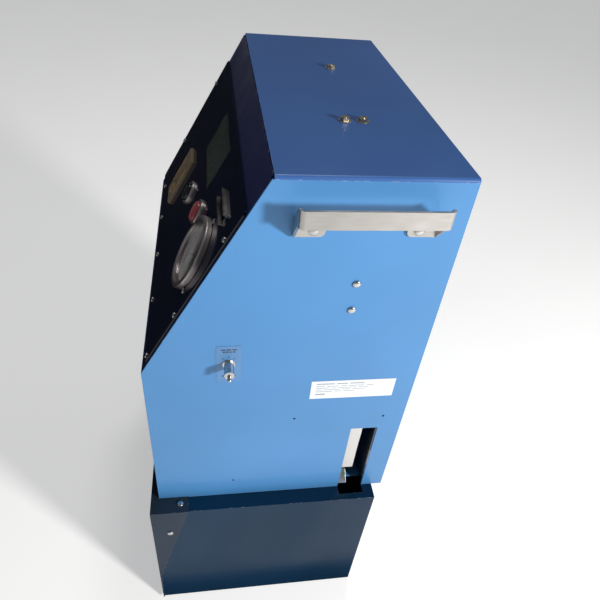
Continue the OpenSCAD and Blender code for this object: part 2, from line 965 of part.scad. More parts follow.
module dial_glass() {
    color([0.8, 0.85, 0.86, 0.3])
        on_slope(dial_x, dial_up, overlay_t + glass_out)
            cylinder(r = dial_r - dial_rim, h = glass_t, $fn = 96);
}

// The pointer rests on its stop at the lower left, at the start of the scale
module dial_pointer() {
    color([0.08, 0.08, 0.09])
        on_slope(dial_x, dial_up, pointer_low) {
            cylinder(r = pointer_hub_r, h = pointer_hub_h);
            translate([0, 0, -pointer_stem_l]) cylinder(r = dial_hub_r, h = pointer_stem_l + cut);
            rotate([0, 0, pointer_a])
                translate([0, 0, pointer_seat])
                    linear_extrude(pointer_t)
                        polygon([
                            [-pointer_tail, -pointer_w / 2],
                            [-pointer_tail, pointer_w / 2],
                            [pointer_l, pointer_tip_w / 2],
                            [pointer_l, -pointer_tip_w / 2]]);
        }
}

// ---- Display, banknote inlet, coin inlet and buttons ----

module display_window() {
    color([0.12, 0.16, 0.15, 0.6])
        on_slope(display_x, display_up, overlay_t - window_t)
            translate([-display_w / 2, -display_h / 2, 0]) cube([display_w, display_h, window_t]);
}

module display_module() {
    color([0.10, 0.25, 0.16])
        on_slope(display_x, display_up, 0) {
            translate([-display_w / 2 - display_board_x, -display_h / 2 - display_board_y,
                -sheet - display_deep])
                cube([display_w + 2 * display_board_x, display_h + 2 * display_board_y, display_deep]);
            translate([-display_w / 2 + display_lip, -display_h / 2 + display_lip, -sheet - cut])
                cube([
                    display_w - 2 * display_lip,
                    display_h - 2 * display_lip,
                    sheet + cut + overlay_t - window_t - seam]);
        }
}

module note_bezel() {
    color([0.80, 0.70, 0.52])
        on_slope(note_x, note_up, 0)
            difference() {
                union() {
                    translate([0, 0, overlay_t]) rounded_plate(note_w, note_h, note_rim, note_corner);
                    translate([0, 0, -sheet])
                        rounded_plate(note_w - 2 * note_rim, note_h - 2 * note_rim, sheet + overlay_t,
                            note_corner - 1);
                }
                translate([-note_mouth[0] / 2, -note_h / 4, overlay_t + note_floor])
                    cube([note_mouth[0], note_h / 2, note_rim]);
                translate([-note_mouth[0] / 2, -note_mouth[1], -sheet - cut])
                    cube([note_mouth[0], note_mouth[1], sheet + overlay_t + note_rim + 2 * cut]);
            }
}

module note_unit() {
    color([0.14, 0.14, 0.15])
        on_slope(note_x, note_up, -sheet)
            difference() {
                translate([-note_w / 2, -note_h / 2, -note_deep]) cube([note_w, note_h, note_deep]);
                translate([-note_mouth[0] / 2, -note_mouth[1], -note_deep * 0.7])
                    cube([note_mouth[0], note_mouth[1], note_deep]);
            }
}

module button_bezels() {
    color([0.86, 0.86, 0.86])
        for (p = [start_at, stop_at])
            on_slope(p[0], p[1], 0) {
                translate([0, 0, overlay_t])
                    rotate_extrude()
                        polygon([
                            [button_r + fit, 0],
                            [button_rim_r, 0],
                            [button_rim_r, 1.2],
                            [button_rim_r - 1.8, button_rim_h],
                            [button_r + fit, button_rim_h]]);
                translate([0, 0, -sheet]) tube_z(button_r + button_wall, button_r + fit, sheet + overlay_t);
            }
}

module button_switches() {
    color([0.10, 0.10, 0.11])
        for (p = [start_at, stop_at])
            on_slope(p[0], p[1], -sheet - switch_deep)
                difference() {
                    cylinder(r = button_r + switch_wall, h = switch_deep);
                    translate([0, 0, switch_floor]) cylinder(r = stem_r + fit, h = switch_deep);
                    translate([0, 0, switch_deep - switch_cup]) cylinder(r = button_r + fit,
                        h = switch_cup + cut);
                }
}

module push_button(p) {
    on_slope(p[0], p[1], 0) {
        translate([0, 0, button_low])
            rotate_extrude()
                polygon([
                    [0, 0],
                    [button_r, 0],
                    [button_r, overlay_t + button_rim_h + button_cap_h],
                    [button_r - 1.5, overlay_t + button_rim_h + button_cap_h + 1.5],
                    [0, overlay_t + button_rim_h + button_cap_h + 2]]);
        translate([0, 0, button_low - stem_l]) cylinder(r = stem_r, h = stem_l + cut);
    }
}

module start_button() { color([0.08, 0.08, 0.09]) push_button(start_at); }
module stop_button() { color([0.80, 0.28, 0.27]) push_button(stop_at); }

module coin_bezel() {
    color([0.78, 0.77, 0.75])
        on_slope(coin_x, coin_up, 0)
            difference() {
                union() {
                    translate([0, 0, overlay_t]) rounded_plate(coin_w, coin_h, coin_plate_t, 3);
                    translate([-coin_w / 2 + coin_rim, -coin_throat / 2, -sheet])
                        cube([coin_w - 2 * coin_rim, coin_throat, sheet + overlay_t + cut]);
                    for (s = [-1, 1])
                        translate([-coin_w / 2 + coin_rail_in, s * coin_rail_at - coin_rail[0] / 2,
                            overlay_t])
                            cube([coin_w - 2 * coin_rail_in, coin_rail[0], coin_rail[1]]);
                }
                coin_slot_cut(-sheet - cut, coin_rim + 2 * sheet);
            }
}

// The coin's way, from a depth under the fascia's face
module coin_slot_cut(low, length) {
    translate([-coin_slot[0] / 2, -coin_slot[1] / 2, low]) cube([coin_slot[0], coin_slot[1], length]);
}

module coin_unit() {
    x0 = chute_x - chute_w / 2 - coin_unit_side;
    x1 = chute_x + chute_w / 2 + coin_unit_side;
    y0 = chute_y - coin_unit_front;
    y1 = chute_y + coin_unit_back;
    top_z = knee_z + coin_up * sin(slope_a) + coin_unit_over;
    duct = coin_duct / 2;
    color([0.20, 0.20, 0.22])
        difference() {
            slab([x0, y0, coin_unit_low], [x1, y1, top_z]);
            on_slope(coin_x, coin_up, 0) coin_slot_cut(-coin_slot_deep, coin_slot_deep);
            slab([chute_x - duct, chute_y - duct, coin_unit_low - cut],
                [chute_x + duct, chute_y + duct, top_z - coin_duct_top]);
        }
    color([0.30, 0.30, 0.32])
        difference() {
            on_slope(coin_x, coin_up, -sheet - coin_neck[1])
                translate([-coin_w / 2 + coin_rim, -coin_neck[0] / 2, 0])
                    cube([coin_w - 2 * coin_rim, coin_neck[0], coin_neck[1]]);
            on_slope(coin_x, coin_up, 0) coin_slot_cut(-coin_slot_deep, coin_slot_deep);
            slab([x0, y0, coin_unit_low], [x1, y1, top_z]);
        }
}

module coin_chute() {
    low_z = drawer_floor_z + drawer_h + chute_gap;
    h = chute_w / 2;
    color([0.55, 0.56, 0.58])
        difference() {
            slab([chute_x - h, chute_y - h, low_z], [chute_x + h, chute_y + h, coin_unit_low]);
            slab([chute_x - h + chute_wall, chute_y - h + chute_wall, low_z - cut],
                [chute_x + h - chute_wall, chute_y + h - chute_wall, coin_unit_low + cut]);
        }
}

// ---- Ticket printer and outlet ----

module ticket_strip() {
    color([0.94, 0.93, 0.90])
        slab([web_x, ticket_y, web_low_z], [web_x + web_t, ticket_y + ticket_w, roll_z]);
}

module ticket_guide() {
    back_x = web_x - guide_gap;
    color([0.62, 0.62, 0.68]) {
        // Backing plate behind the ticket, hung from the printer bracket
        slab([back_x - guide_t, ticket_y - cut, web_low_z - guide_drop],
            [back_x, ticket_y - cut + guide_w, bracket_low_z]);
        // Rear cheek with a tongue up to the bracket
        slab([side_x - cheek_in, slot_rear_y - guide_t, floor_z], [inner_x, slot_rear_y, bracket_low_z]);
        // Turned-out lip that leads the ticket over the ledge
        translate([inner_x - notch_d - lip_in, slot_front_y + fit, floor_z + lip_rise])
            rotate([0, lip_a, 0]) cube(lip);
    }
}

module printer_bracket() {
    y0 = plate_front_y;
    y1 = plate_rear_y;
    color([0.66, 0.67, 0.69])
        difference() {
            union() {
                slab([bracket_x, y0, bracket_low_z], [inner_x, y0 + sheet, bracket_top_z]);
                slab([bracket_x, y1, bracket_low_z], [inner_x, y1 + sheet, bracket_top_z - bracket_step]);
                slab([bracket_x, y0, bracket_low_z], [bracket_x + sheet, y1 + sheet,
                    bracket_top_z - bracket_step]);
                slab([inner_x - sheet, side_screw_y - bracket_flange, side_screw_zs[0] - bracket_under],
                    [inner_x, y0 + sheet, bracket_top_z]);
                slab([web_x - guide_gap - guide_t, y0, bracket_low_z],
                    [web_x - guide_gap, y1, bracket_low_z + bracket_clip]);
            }
            for (z = side_screw_zs)
                translate([inner_x - sheet - cut, side_screw_y, z])
                    rotate([0, 90, 0]) cylinder(r = screw_r, h = sheet + 2 * cut);
            along_y(platen_x, platen_z, y0 - cut)
                cylinder(r = platen_shaft_r + run, h = y1 - y0 + sheet + 2 * cut);
            along_y(roll_x, roll_z, y0 - cut) cylinder(r = spindle_r, h = y1 - y0 + sheet + 2 * cut);
            along_y(motor_x, motor_z, y0 - cut) cylinder(r = motor_shaft_r + 1, h = sheet + 2 * cut);
        }
}

// Places children with their local Z along +Y
module along_y(x, z, y) {
    translate([x, y, z]) rotate([-90, 0, 0]) children();
}

module roll_spindle() {
    y0 = plate_front_y;
    len = plate_rear_y + sheet - y0;
    color([0.70, 0.70, 0.72]) {
        along_y(roll_x, roll_z, y0) cylinder(r = spindle_r, h = len);
        along_y(roll_x, roll_z, y0 + sheet) cylinder(r = core_r, h = len - 2 * sheet);
    }
}

module paper_roll() {
    color([0.93, 0.92, 0.88])
        along_y(roll_x, roll_z, ticket_y)
            difference() {
                cylinder(r = roll_r, h = ticket_w, $fn = 96);
                translate([0, 0, -cut]) cylinder(r = core_r + run, h = ticket_w + 2 * cut);
            }
}

module platen_roller() {
    y0 = plate_front_y + sheet + platen_gap;
    y1 = plate_rear_y - platen_gap;
    color([0.12, 0.12, 0.13]) {
        along_y(platen_x, platen_z, y0) cylinder(r = platen_r, h = y1 - y0);
        along_y(platen_x, platen_z, gear_y - cut)
            cylinder(r = platen_shaft_r, h = plate_rear_y + sheet + platen_tail - gear_y);
    }
}

function involute(base_r, t) = [
    base_r * (cos(t) + t * PI / 180 * sin(t)),
    base_r * (sin(t) - t * PI / 180 * cos(t))];

function turned(p, a) = [p[0] * cos(a) - p[1] * sin(a), p[0] * sin(a) + p[1] * cos(a)];

// One involute tooth flank from the base circle to the tip, as seen from the tooth's middle
function flank(base_r, tip_r, half_base, side) = [
    for (i = [0:4])
        let (t = sqrt(pow(base_r + (tip_r - base_r) * i / 4, 2) / pow(base_r, 2) - 1) * 180 / PI)
            let (p = involute(base_r, t))
                turned([p[0], side * p[1]], -side * half_base)];

function reversed(list) = [for (i = [len(list) - 1:-1:0]) list[i]];

module gear(teeth, bore_r) {
    pressure = 20;
    pitch_r = gear_m * teeth / 2;
    base_r = pitch_r * cos(pressure);
    tip_r = pitch_r + 0.9 * gear_m;
    root_r = pitch_r - 1.2 * gear_m;
    backlash = 0.16;
    inv = tan(pressure) * 180 / PI - pressure;
    half_base = 90 / teeth - backlash / 2 / pitch_r * 180 / PI + inv;
    low_r = min(root_r, base_r - 0.1);
    outline = [
        for (k = [0:teeth - 1])
            let (a = k * 360 / teeth)
                for (p = concat(
                        [turned([low_r, 0], -half_base)],
                        flank(base_r, tip_r, half_base, 1),
                        reversed(flank(base_r, tip_r, half_base, -1)),
                        [turned([low_r, 0], half_base)]))
                    turned(p, a)];
    linear_extrude(gear_w)
        difference() {
            polygon(outline);
            circle(bore_r);
        }
}

module drive_gear() {
    color([0.90, 0.90, 0.86])
        along_y(platen_x, platen_z, gear_y) gear(gear_teeth, platen_shaft_r);
}

// The pinion is turned by half a tooth so that its gap faces the drive gear's tooth
module motor_pinion() {
    face_a = -motor_dir;
    gear_phase = face_a - round(face_a / (360 / gear_teeth)) * 360 / gear_teeth;
    mesh_a = face_a + 180 + gear_phase * gear_teeth / pinion_teeth + 180 / pinion_teeth;
    color([0.83, 0.72, 0.42])
        along_y(motor_x, motor_z, gear_y) {
            rotate([0, 0, mesh_a]) gear(pinion_teeth, motor_shaft_r);
            cylinder(r = motor_shaft_r, h = gear_w + gear_gap + sheet + motor_tail);
        }
}

module printer_motor() {
    color([0.35, 0.36, 0.38])
        along_y(motor_x, motor_z, plate_front_y + sheet)
            difference() {
                cylinder(r = motor_r, h = motor_l);
                translate([0, 0, -cut]) cylinder(r = motor_shaft_r + run, h = motor_bore_l + cut);
            }
}

// ---- Electrics ----

module power_supply() {
    top_z = floor_z + supply_size[2];
    color([0.72, 0.73, 0.74])
        difference() {
            translate([supply_at[0], supply_at[1], floor_z]) cube(supply_size);
            for (i = [0:supply_vents - 1])
                translate([
                    supply_at[0] + supply_vent_at[0],
                    supply_at[1] + supply_vent_at[1] * (i + 1),
                    top_z - supply_vent[2]])
                    cube([supply_vent[0], supply_vent[1], supply_vent[2] + cut]);
        }
}

module controller_board() {
    board_top = floor_z + board_leg_h + board_size[2];
    color([0.08, 0.34, 0.20]) {
        for (x = [board_leg_in, board_size[0] - board_leg_in], y = [board_leg_in,
            board_size[1] - board_leg_in])
            translate([board_at[0] + x, board_at[1] + y, floor_z]) cylinder(r = board_leg_r,
                h = board_leg_h);
        translate([board_at[0], board_at[1], floor_z + board_leg_h]) cube(board_size);
    }
    color([0.10, 0.10, 0.11])
        for (p = board_parts)
            translate([board_at[0] + p[0], board_at[1] + p[1], board_top]) cube([p[2], p[3], p[4]]);
}

module cable_gland() {
    color([0.10, 0.10, 0.11])
        along_y(gland_x, gland_z, plinth_rear_y - sheet - gland_nut_t)
            difference() {
                union() {
                    cylinder(r = gland_r, h = sheet + gland_nut_t);
                    cylinder(r = gland_r + gland_nut_over, h = gland_nut_t, $fn = 6);
                    translate([0, 0, sheet + gland_nut_t])
                        cylinder(r = gland_r + gland_nut_over, h = gland_nut_t, $fn = 6);
                    translate([0, 0, sheet + 2 * gland_nut_t])
                        cylinder(r1 = gland_r, r2 = gland_r - gland_taper, h = gland_nut_t);
                }
                translate([0, 0, -cut]) cylinder(r = gland_bore_r, h = sheet + 3 * gland_nut_t + 2 * cut);
            }
}

// ---- Cash drawer ----

module drawer_runners() {
    top_z = foot_h + angle_leg;
    color([0.66, 0.67, 0.69])
        for (s = [-1, 1])
            translate([drawer_x, 0, 0])
                mirror([s < 0 ? 1 : 0, 0, 0]) {
                    edge = drawer_w / 2 + angle_t;
                    slab([edge - runner_foot, drawer_front_y - runner_back, top_z],
                        [edge + angle_t, plinth_rear_y - sheet, top_z + sheet]);
                    slab([drawer_w / 2 + fit, drawer_front_y - runner_back, top_z + sheet],
                        [drawer_w / 2 + fit + sheet, plinth_rear_y - sheet - cut,
                            top_z + sheet + runner_h]);
                }
}

module cash_drawer() {
    x0 = drawer_x - drawer_w / 2;
    x1 = drawer_x + drawer_w / 2;
    z1 = drawer_floor_z + drawer_h;
    low_pull = drawer_floor_z + drawer_h / 2 - pull_h / 2;
    face_y = plinth_rear_y + fit + sheet;
    color([0.45, 0.47, 0.50])
        difference() {
            union() {
                slab([x0, drawer_front_y, drawer_floor_z], [x1, plinth_rear_y + fit, z1]);
                slab([x0 - drawer_face, plinth_rear_y + fit, drawer_floor_z - drawer_face],
                    [x1 + drawer_face, face_y, z1 + drawer_face]);
                for (s = [-1, 1])
                    translate([drawer_x + s * pull_post_at - pull_t / 2, face_y, low_pull])
                        cube([pull_t, pull_out, pull_h]);
                translate([drawer_x - pull_l / 2, face_y + pull_out - pull_t, low_pull])
                    cube([pull_l, pull_t, pull_h]);
            }
            slab([x0 + drawer_wall, drawer_front_y + drawer_wall, drawer_floor_z + drawer_wall],
                [x1 - drawer_wall, plinth_rear_y + fit, z1 + cut]);
        }
}

// ---- Rear door ----

module rear_door() {
    x0 = -door_w / 2;
    x1 = door_w / 2;
    color([0.24, 0.44, 0.69])
        difference() {
            slab([x0, rear_y - door_edge, door_low_z], [x1, rear_y, door_high_z]);
            slab([x0 + sheet, rear_y - door_edge - cut, door_low_z + sheet],
                [x1 - sheet, rear_y - sheet, door_high_z - sheet]);
            for (i = [0:louvres - 1], s = [-1, 1])
                translate([s * louvre_x - louvre_w / 2, rear_y - sheet - cut,
                    door_low_z + louvre_low + i * louvre_pitch])
                    cube([louvre_w, sheet + 2 * cut, louvre_h]);
            translate([lock_x, rear_y - sheet - cut, lock_z])
                rotate([-90, 0, 0]) cylinder(r = lock_stem_r + run, h = sheet + 2 * cut);
            // Notch that lets the lock's cam turn out behind the rear frame
            slab([x1 - sheet - cut, rear_y - door_edge - cut, lock_z - cam_w / 2 - cut],
                [x1 + cut, rear_y - sheet, lock_z + cam_l + cut]);
        }
}

// Three knuckles a hinge: the middle one turns with the door
module knuckles(z, places) {
    for (k = places)
        translate([hinge_x, hinge_y, z + (k - 1) * knuckle_l + fit / 2])
            cylinder(r = knuckle_r, h = knuckle_l - fit);
}

module leaf(z, places, side) {
    for (k = places)
        slab([min(0, side * hinge_leaf) + hinge_x, rear_y, z + (k - 1) * knuckle_l + fit / 2],
            [max(0, side * hinge_leaf) + hinge_x, rear_y + hinge_leaf_t, z + k * knuckle_l - fit / 2]);
}

module fixed_hinges() {
    color([0.70, 0.70, 0.70])
        difference() {
            for (z = hinge_zs) {
                slab([hinge_x - hinge_leaf, rear_y, z - knuckle_l],
                    [hinge_x - knuckle_r - fit, rear_y + hinge_leaf_t, z + 2 * knuckle_l]);
                knuckles(z, [0, 2]);
                leaf(z, [0, 2], -1);
            }
            for (z = hinge_zs)
                translate([hinge_x, hinge_y, z - 2 * knuckle_l]) cylinder(r = hinge_pin_r,
                    h = 5 * knuckle_l);
            slab([hinge_x + door_gap / 2 - fit, rear_y - cut, door_low_z],
                [hinge_x + hinge_leaf, rear_y + fit, door_high_z]);
        }
}

module door_hinges() {
    color([0.70, 0.70, 0.70])
        difference() {
            for (z = hinge_zs) {
                slab([hinge_x + knuckle_r + fit, rear_y, z - knuckle_l],
                    [hinge_x + hinge_leaf, rear_y + hinge_leaf_t, z + 2 * knuckle_l]);
                knuckles(z, [1]);
                leaf(z, [1], 1);
            }
            for (z = hinge_zs)
                translate([hinge_x, hinge_y, z - 2 * knuckle_l]) cylinder(r = hinge_pin_r + run,
                    h = 5 * knuckle_l);
        }
}

module hinge_pins() {
    color([0.80, 0.80, 0.80])
        for (z = hinge_zs)
            translate([hinge_x, hinge_y, z - knuckle_l]) cylinder(r = hinge_pin_r, h = 3 * knuckle_l);
}

// Stored unlocked, with its cam pointing up inside the door
module door_lock() {
    knob_out = plinth_front + sheet;
    cam_low = -sheet - 2 * fit - cam_t - fit;
    color([0.75, 0.74, 0.72])
        along_y(lock_x, lock_z, rear_y + fit) {
            cylinder(r = lock_knob_r, h = knob_out / 2 - fit);
            translate([-lock_knob_r + lock_grip_in, -lock_grip_t / 2, 0])
                cube([2 * (lock_knob_r - lock_grip_in), lock_grip_t, knob_out - fit]);
            translate([0, 0, cam_low - cut]) cylinder(r = lock_stem_r, h = 2 * cut - cam_low);
            translate([-cam_w / 2, -cam_l, cam_low]) cube([cam_w, cam_l, cam_t]);
        }
}

plinth_shell();
plinth_cover();
base_frame();
foot_front_left();
foot_front_right();
foot_rear_left();
foot_rear_right();
floor_plate();
right_side();
left_side();
top_panel();
front_panel();
fascia();
overlay();
rear_frame();
right_handle();
left_handle();
handle_screws();
side_screws();
top_bolts();
fascia_screws();
info_label();
toggle_body();
toggle_nut();
toggle_plate();
dial_case();
dial_bezel();
dial_glass();
display_window();
display_module();
note_bezel();
note_unit();
button_bezels();
button_switches();
coin_bezel();
coin_unit();
coin_chute();
ticket_strip();
ticket_guide();
printer_bracket();
printer_motor();
roll_spindle();
power_supply();
controller_board();
cable_gland();
drawer_runners();
fixed_hinges();
hinge_pins();
toggle_lever();
dial_pointer();
start_button();
stop_button();
platen_roller();
drive_gear();
motor_pinion();
paper_roll();
rear_door();
door_hinges();
door_lock();
cash_drawer();
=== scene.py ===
import json
from math import cos, exp, pi, radians, sin

import bmesh
import bpy
from mathutils import Matrix, Vector

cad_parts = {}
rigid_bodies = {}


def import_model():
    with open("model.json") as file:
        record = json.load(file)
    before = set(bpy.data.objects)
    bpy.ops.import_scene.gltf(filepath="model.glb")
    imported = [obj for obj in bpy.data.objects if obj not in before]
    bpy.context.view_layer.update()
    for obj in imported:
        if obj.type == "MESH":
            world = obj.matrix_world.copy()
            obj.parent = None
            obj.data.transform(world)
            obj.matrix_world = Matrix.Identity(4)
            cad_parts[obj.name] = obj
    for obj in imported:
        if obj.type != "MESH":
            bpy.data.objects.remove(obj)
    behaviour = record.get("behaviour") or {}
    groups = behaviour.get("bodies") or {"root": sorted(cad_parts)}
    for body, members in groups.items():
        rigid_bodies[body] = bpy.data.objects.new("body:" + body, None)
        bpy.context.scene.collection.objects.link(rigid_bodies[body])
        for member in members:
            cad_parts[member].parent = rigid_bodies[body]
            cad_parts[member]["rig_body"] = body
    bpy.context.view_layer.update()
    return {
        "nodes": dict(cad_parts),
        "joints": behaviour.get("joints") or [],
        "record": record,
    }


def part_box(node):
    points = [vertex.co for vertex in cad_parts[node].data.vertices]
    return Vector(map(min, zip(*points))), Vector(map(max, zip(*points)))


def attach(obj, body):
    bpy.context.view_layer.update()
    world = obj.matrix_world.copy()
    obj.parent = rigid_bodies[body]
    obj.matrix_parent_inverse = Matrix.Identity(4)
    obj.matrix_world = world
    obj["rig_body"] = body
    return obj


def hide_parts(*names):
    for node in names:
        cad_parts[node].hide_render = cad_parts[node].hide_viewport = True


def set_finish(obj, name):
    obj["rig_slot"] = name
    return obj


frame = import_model()
MM = 0.001


def add_object(name, data):
    item = bpy.data.objects.new(name, data)
    bpy.context.scene.collection.objects.link(item)
    return item


def put(node, name, value):
    node.inputs[name].default_value = value


# ---- Camera, floor and light ----

CAMERA_PLACE = (0.6946, -0.0887, 1.0752)
CAMERA_AZIMUTH = 78.15
CAMERA_DROP = 39.99
CAMERA_ROLL = 6.62
CAMERA_LENS = 32.59
CAMERA_SHIFT = (0.001, 0.0039)
SENSOR_WIDTH = 36
LIGHT_AIM_HEIGHT = 0.6
WORLD_STRENGTH = 0.12
FLOOR_SIZE = 24
FLOOR_GLOW = 0.42
CARD_FAR = 9.0
CARD_NEAR = 0.30


def add_camera():
    azimuth, drop = radians(CAMERA_AZIMUTH), radians(CAMERA_DROP)
    look = Vector((-cos(drop) * sin(azimuth), cos(drop) * cos(azimuth), -sin(drop)))
    data = bpy.data.cameras.new("camera")
    data.lens = CAMERA_LENS
    data.sensor_width = SENSOR_WIDTH
    data.shift_x, data.shift_y = CAMERA_SHIFT
    data.clip_start = 0.01
    camera = add_object("camera", data)
    turn = look.to_track_quat("-Z", "Y").to_matrix() @ Matrix.Rotation(radians(CAMERA_ROLL), 3, "Z")
    camera.matrix_world = Matrix.Translation(CAMERA_PLACE) @ turn.to_4x4()
    bpy.context.scene.camera = camera


def area_light(name, direction, distance, size, power, colour):
    data = bpy.data.lights.new(name, "AREA")
    data.shape = "DISK"
    data.size = size
    data.energy = power
    data.color = colour
    light = add_object(name, data)
    aim = Vector((0, 0, LIGHT_AIM_HEIGHT))
    back = Vector(direction).normalized()
    turn = back.to_track_quat("Z", "Y").to_matrix().to_4x4()
    light.matrix_world = Matrix.Translation(aim + back * distance) @ turn


def add_world(strength):
    world = bpy.data.worlds.new("studio")
    world.use_nodes = True
    sky = world.node_tree.nodes["Background"]
    put(sky, "Color", (0.93, 0.96, 1.0, 1))
    put(sky, "Strength", strength)
    bpy.context.scene.world = world


add_camera()
add_world(WORLD_STRENGTH)
area_light("window", (0.70, 0.65, 0.30), 2.6, 0.34, 66, (1.0, 0.98, 0.95))
area_light("fill", (0.55, -0.75, 0.55), 3.2, 2.2, 3.0, (0.95, 0.97, 1.0))
area_light("ceiling", (-0.35, 0.15, 0.93), 2.8, 0.6, 16, (1.0, 0.99, 0.97))
bpy.context.scene.view_settings.view_transform = "Standard"


# ---- Materials ----


def new_material(name):
    material = bpy.data.materials.new(name)
    material.use_nodes = True
    tree = material.node_tree
    return material, tree, tree.nodes["Principled BSDF"]


def new_node(tree, kind):
    return tree.nodes.new("ShaderNode" + kind)


def mapped_noise(tree, scale, detail=2.0, stretch=(1, 1, 1), offset=0.0):
    """Noise in the object's own frame, stretched along its axes."""
    place = new_node(tree, "TexCoord")
    mapping = new_node(tree, "Mapping")
    put(mapping, "Scale", stretch)
    put(mapping, "Location", (offset, offset, offset))
    noise = new_node(tree, "TexNoise")
    put(noise, "Scale", scale)
    put(noise, "Detail", detail)
    tree.links.new(place.outputs["Object"], mapping.inputs["Vector"])
    tree.links.new(mapping.outputs["Vector"], noise.inputs["Vector"])
    return noise.outputs["Fac"]


def ramp(tree, source, stops):
    """A colour ramp with stops of (place, colour)."""
    node = new_node(tree, "ValToRGB")
    while len(node.color_ramp.elements) < len(stops):
        node.color_ramp.elements.new(0.5)
    for element, (place, colour) in zip(node.color_ramp.elements, stops):
        element.position = place
        element.color = (*colour, 1)
    tree.links.new(source, node.inputs["Fac"])
    return node.outputs["Color"]


def ranged(tree, source, low, high, start=0.0, end=1.0):
    node = new_node(tree, "MapRange")
    put(node, "From Min", start)
    put(node, "From Max", end)
    put(node, "To Min", low)
    put(node, "To Max", high)
    tree.links.new(source, node.inputs["Value"])
    return node.outputs["Result"]


def mixed(tree, factor, first, second, kind="MIX"):
    """Mixes two colours. Each is a colour value or a socket."""
    node = new_node(tree, "Mix")
    node.data_type = "RGBA"
    node.blend_type = kind
    for socket, value in zip((node.inputs[0], node.inputs[6], node.inputs[7]), (factor, first, second)):
        if isinstance(value, bpy.types.NodeSocket):
            tree.links.new(value, socket)
        elif isinstance(value, (int, float)):
            socket.default_value = value
        else:
            socket.default_value = (*value, 1)
    return node.outputs[2]


def dress(tree, shader, tone, rough):
    tree.links.new(tone, shader.inputs["Base Color"])
    tree.links.new(rough, shader.inputs["Roughness"])


def add_bump(tree, shader, height, strength, distance):
    """Bumps a shader by a height, whose full depth is a distance in millimetres."""
    node = new_node(tree, "Bump")
    put(node, "Strength", strength)
    put(node, "Distance", distance * MM)
    tree.links.new(height, node.inputs["Height"])
    tree.links.new(node.outputs["Normal"], shader.inputs["Normal"])


def tint(colour, factor):
    return tuple(min(1.0, c * factor) for c in colour)


def edge_mask(tree, radius):
    """Near 1 along sharp edges, broken up by noise, and 0 on flat faces; it marks both chipped paint and a
    painted edge highlight.
    """
    rounded = new_node(tree, "Bevel")
    rounded.samples = 4
    put(rounded, "Radius", radius)
    geometry = new_node(tree, "NewGeometry")
    dot = new_node(tree, "VectorMath")
    dot.operation = "DOT_PRODUCT"
    tree.links.new(rounded.outputs["Normal"], dot.inputs[0])
    tree.links.new(geometry.outputs["True Normal"], dot.inputs[1])
    edge = ranged(tree, dot.outputs["Value"], 1, 0, 0.80, 0.98)
    broken = ranged(tree, mapped_noise(tree, 160, 3), 0, 1, 0.52, 0.62)
    both = new_node(tree, "Math")
    both.operation = "MULTIPLY"
    tree.links.new(edge, both.inputs[0])
    tree.links.new(broken, both.inputs[1])
    return both.outputs[0]


def enamel(colour, rough, coat=0.3, mottle=0.10, peel=0.05, edge_wear_and_highlight=(0.55, 0.56, 0.58), specular=0.5):
    """Sprayed enamel: cloudy tone, orange peel, fine dust, and lightened edges that are partly chipped paint
    and partly a painted highlight line.
    """
    material, tree, shader = new_material("finish")
    cloud = mapped_noise(tree, 3.2, 3)
    tone = ramp(tree, cloud, [(0.3, tint(colour, 1 - mottle)), (0.7, tint(colour, 1 + mottle))])
    dust = ranged(tree, mapped_noise(tree, 900, 1), 0, 0.5, 0.70, 0.78)
    tone = mixed(tree, dust, tone, tint(colour, 1.5))
    # Lightens broken patches along sharp edges: partly chipped paint, partly a painted highlight where the
    # edges catch light.
    tone = mixed(tree, edge_mask(tree, 0.9 * MM), tone, edge_wear_and_highlight)
    smear = mapped_noise(tree, 9, 4, (1, 1, 0.35))
    dress(tree, shader, tone, ranged(tree, smear, rough * 0.8, rough * 1.35, 0.3, 0.7))
    add_bump(tree, shader, mapped_noise(tree, 420, 2), peel, 0.4)
    put(shader, "Coat Weight", coat)
    put(shader, "Coat Roughness", 0.08)
    put(shader, "Specular IOR Level", specular)
    return material


EVEN = (1, 1, 1)


def metal(colour, rough, grain=EVEN, scale=260, depth=0.08, spots=0.0):
    """Bare metal with a grain that is long along the axes where grain is small."""
    material, tree, shader = new_material("finish")
    lines = mapped_noise(tree, scale, 3, grain)
    tone = ramp(tree, lines, [(0.25, tint(colour, 0.86)), (0.75, tint(colour, 1.06))])
    if spots:
        crystals = new_node(tree, "TexVoronoi")
        put(crystals, "Scale", spots)
        place = new_node(tree, "TexCoord")
        tree.links.new(place.outputs["Object"], crystals.inputs["Vector"])
        tone = mixed(tree, 0.22, tone, crystals.outputs["Color"], "SOFT_LIGHT")
    smudge = mapped_noise(tree, 30, 3, offset=3.0)
    dress(tree, shader, tone, ranged(tree, smudge, rough * 0.75, rough * 1.4, 0.3, 0.7))
    add_bump(tree, shader, lines, depth, 0.2)
    put(shader, "Metallic", 1)
    return material


def plastic(colour, rough, grain=700, depth=0.12, mottle=0.06, coat=0.0, specular=0.5):
    """Moulded plastic with a fine spark-eroded grain."""
    material, tree, shader = new_material("finish")
    cloud = mapped_noise(tree, 40, 3)
    tone = ramp(tree, cloud, [(0.3, tint(colour, 1 - mottle)), (0.7, tint(colour, 1 + mottle))])
    dress(tree, shader, tone, ranged(tree, cloud, rough * 0.85, rough * 1.2, 0.3, 0.7))
    add_bump(tree, shader, mapped_noise(tree, grain, 2), depth, 0.15)
    put(shader, "Coat Weight", coat)
    put(shader, "Specular IOR Level", specular)
    return material


def glass(colour, rough, clear):
    """A thin clear or smoked pane with faint smears."""
    material, tree, shader = new_material("finish")
    smear = mapped_noise(tree, 25, 4)
    tone = ramp(tree, smear, [(0.3, tint(colour, 0.94)), (0.7, colour)])
    dress(tree, shader, tone, ranged(tree, smear, rough, rough * 2.5, 0.4, 0.7))
    put(shader, "Transmission Weight", clear)
    put(shader, "IOR", 1.45)
    return material


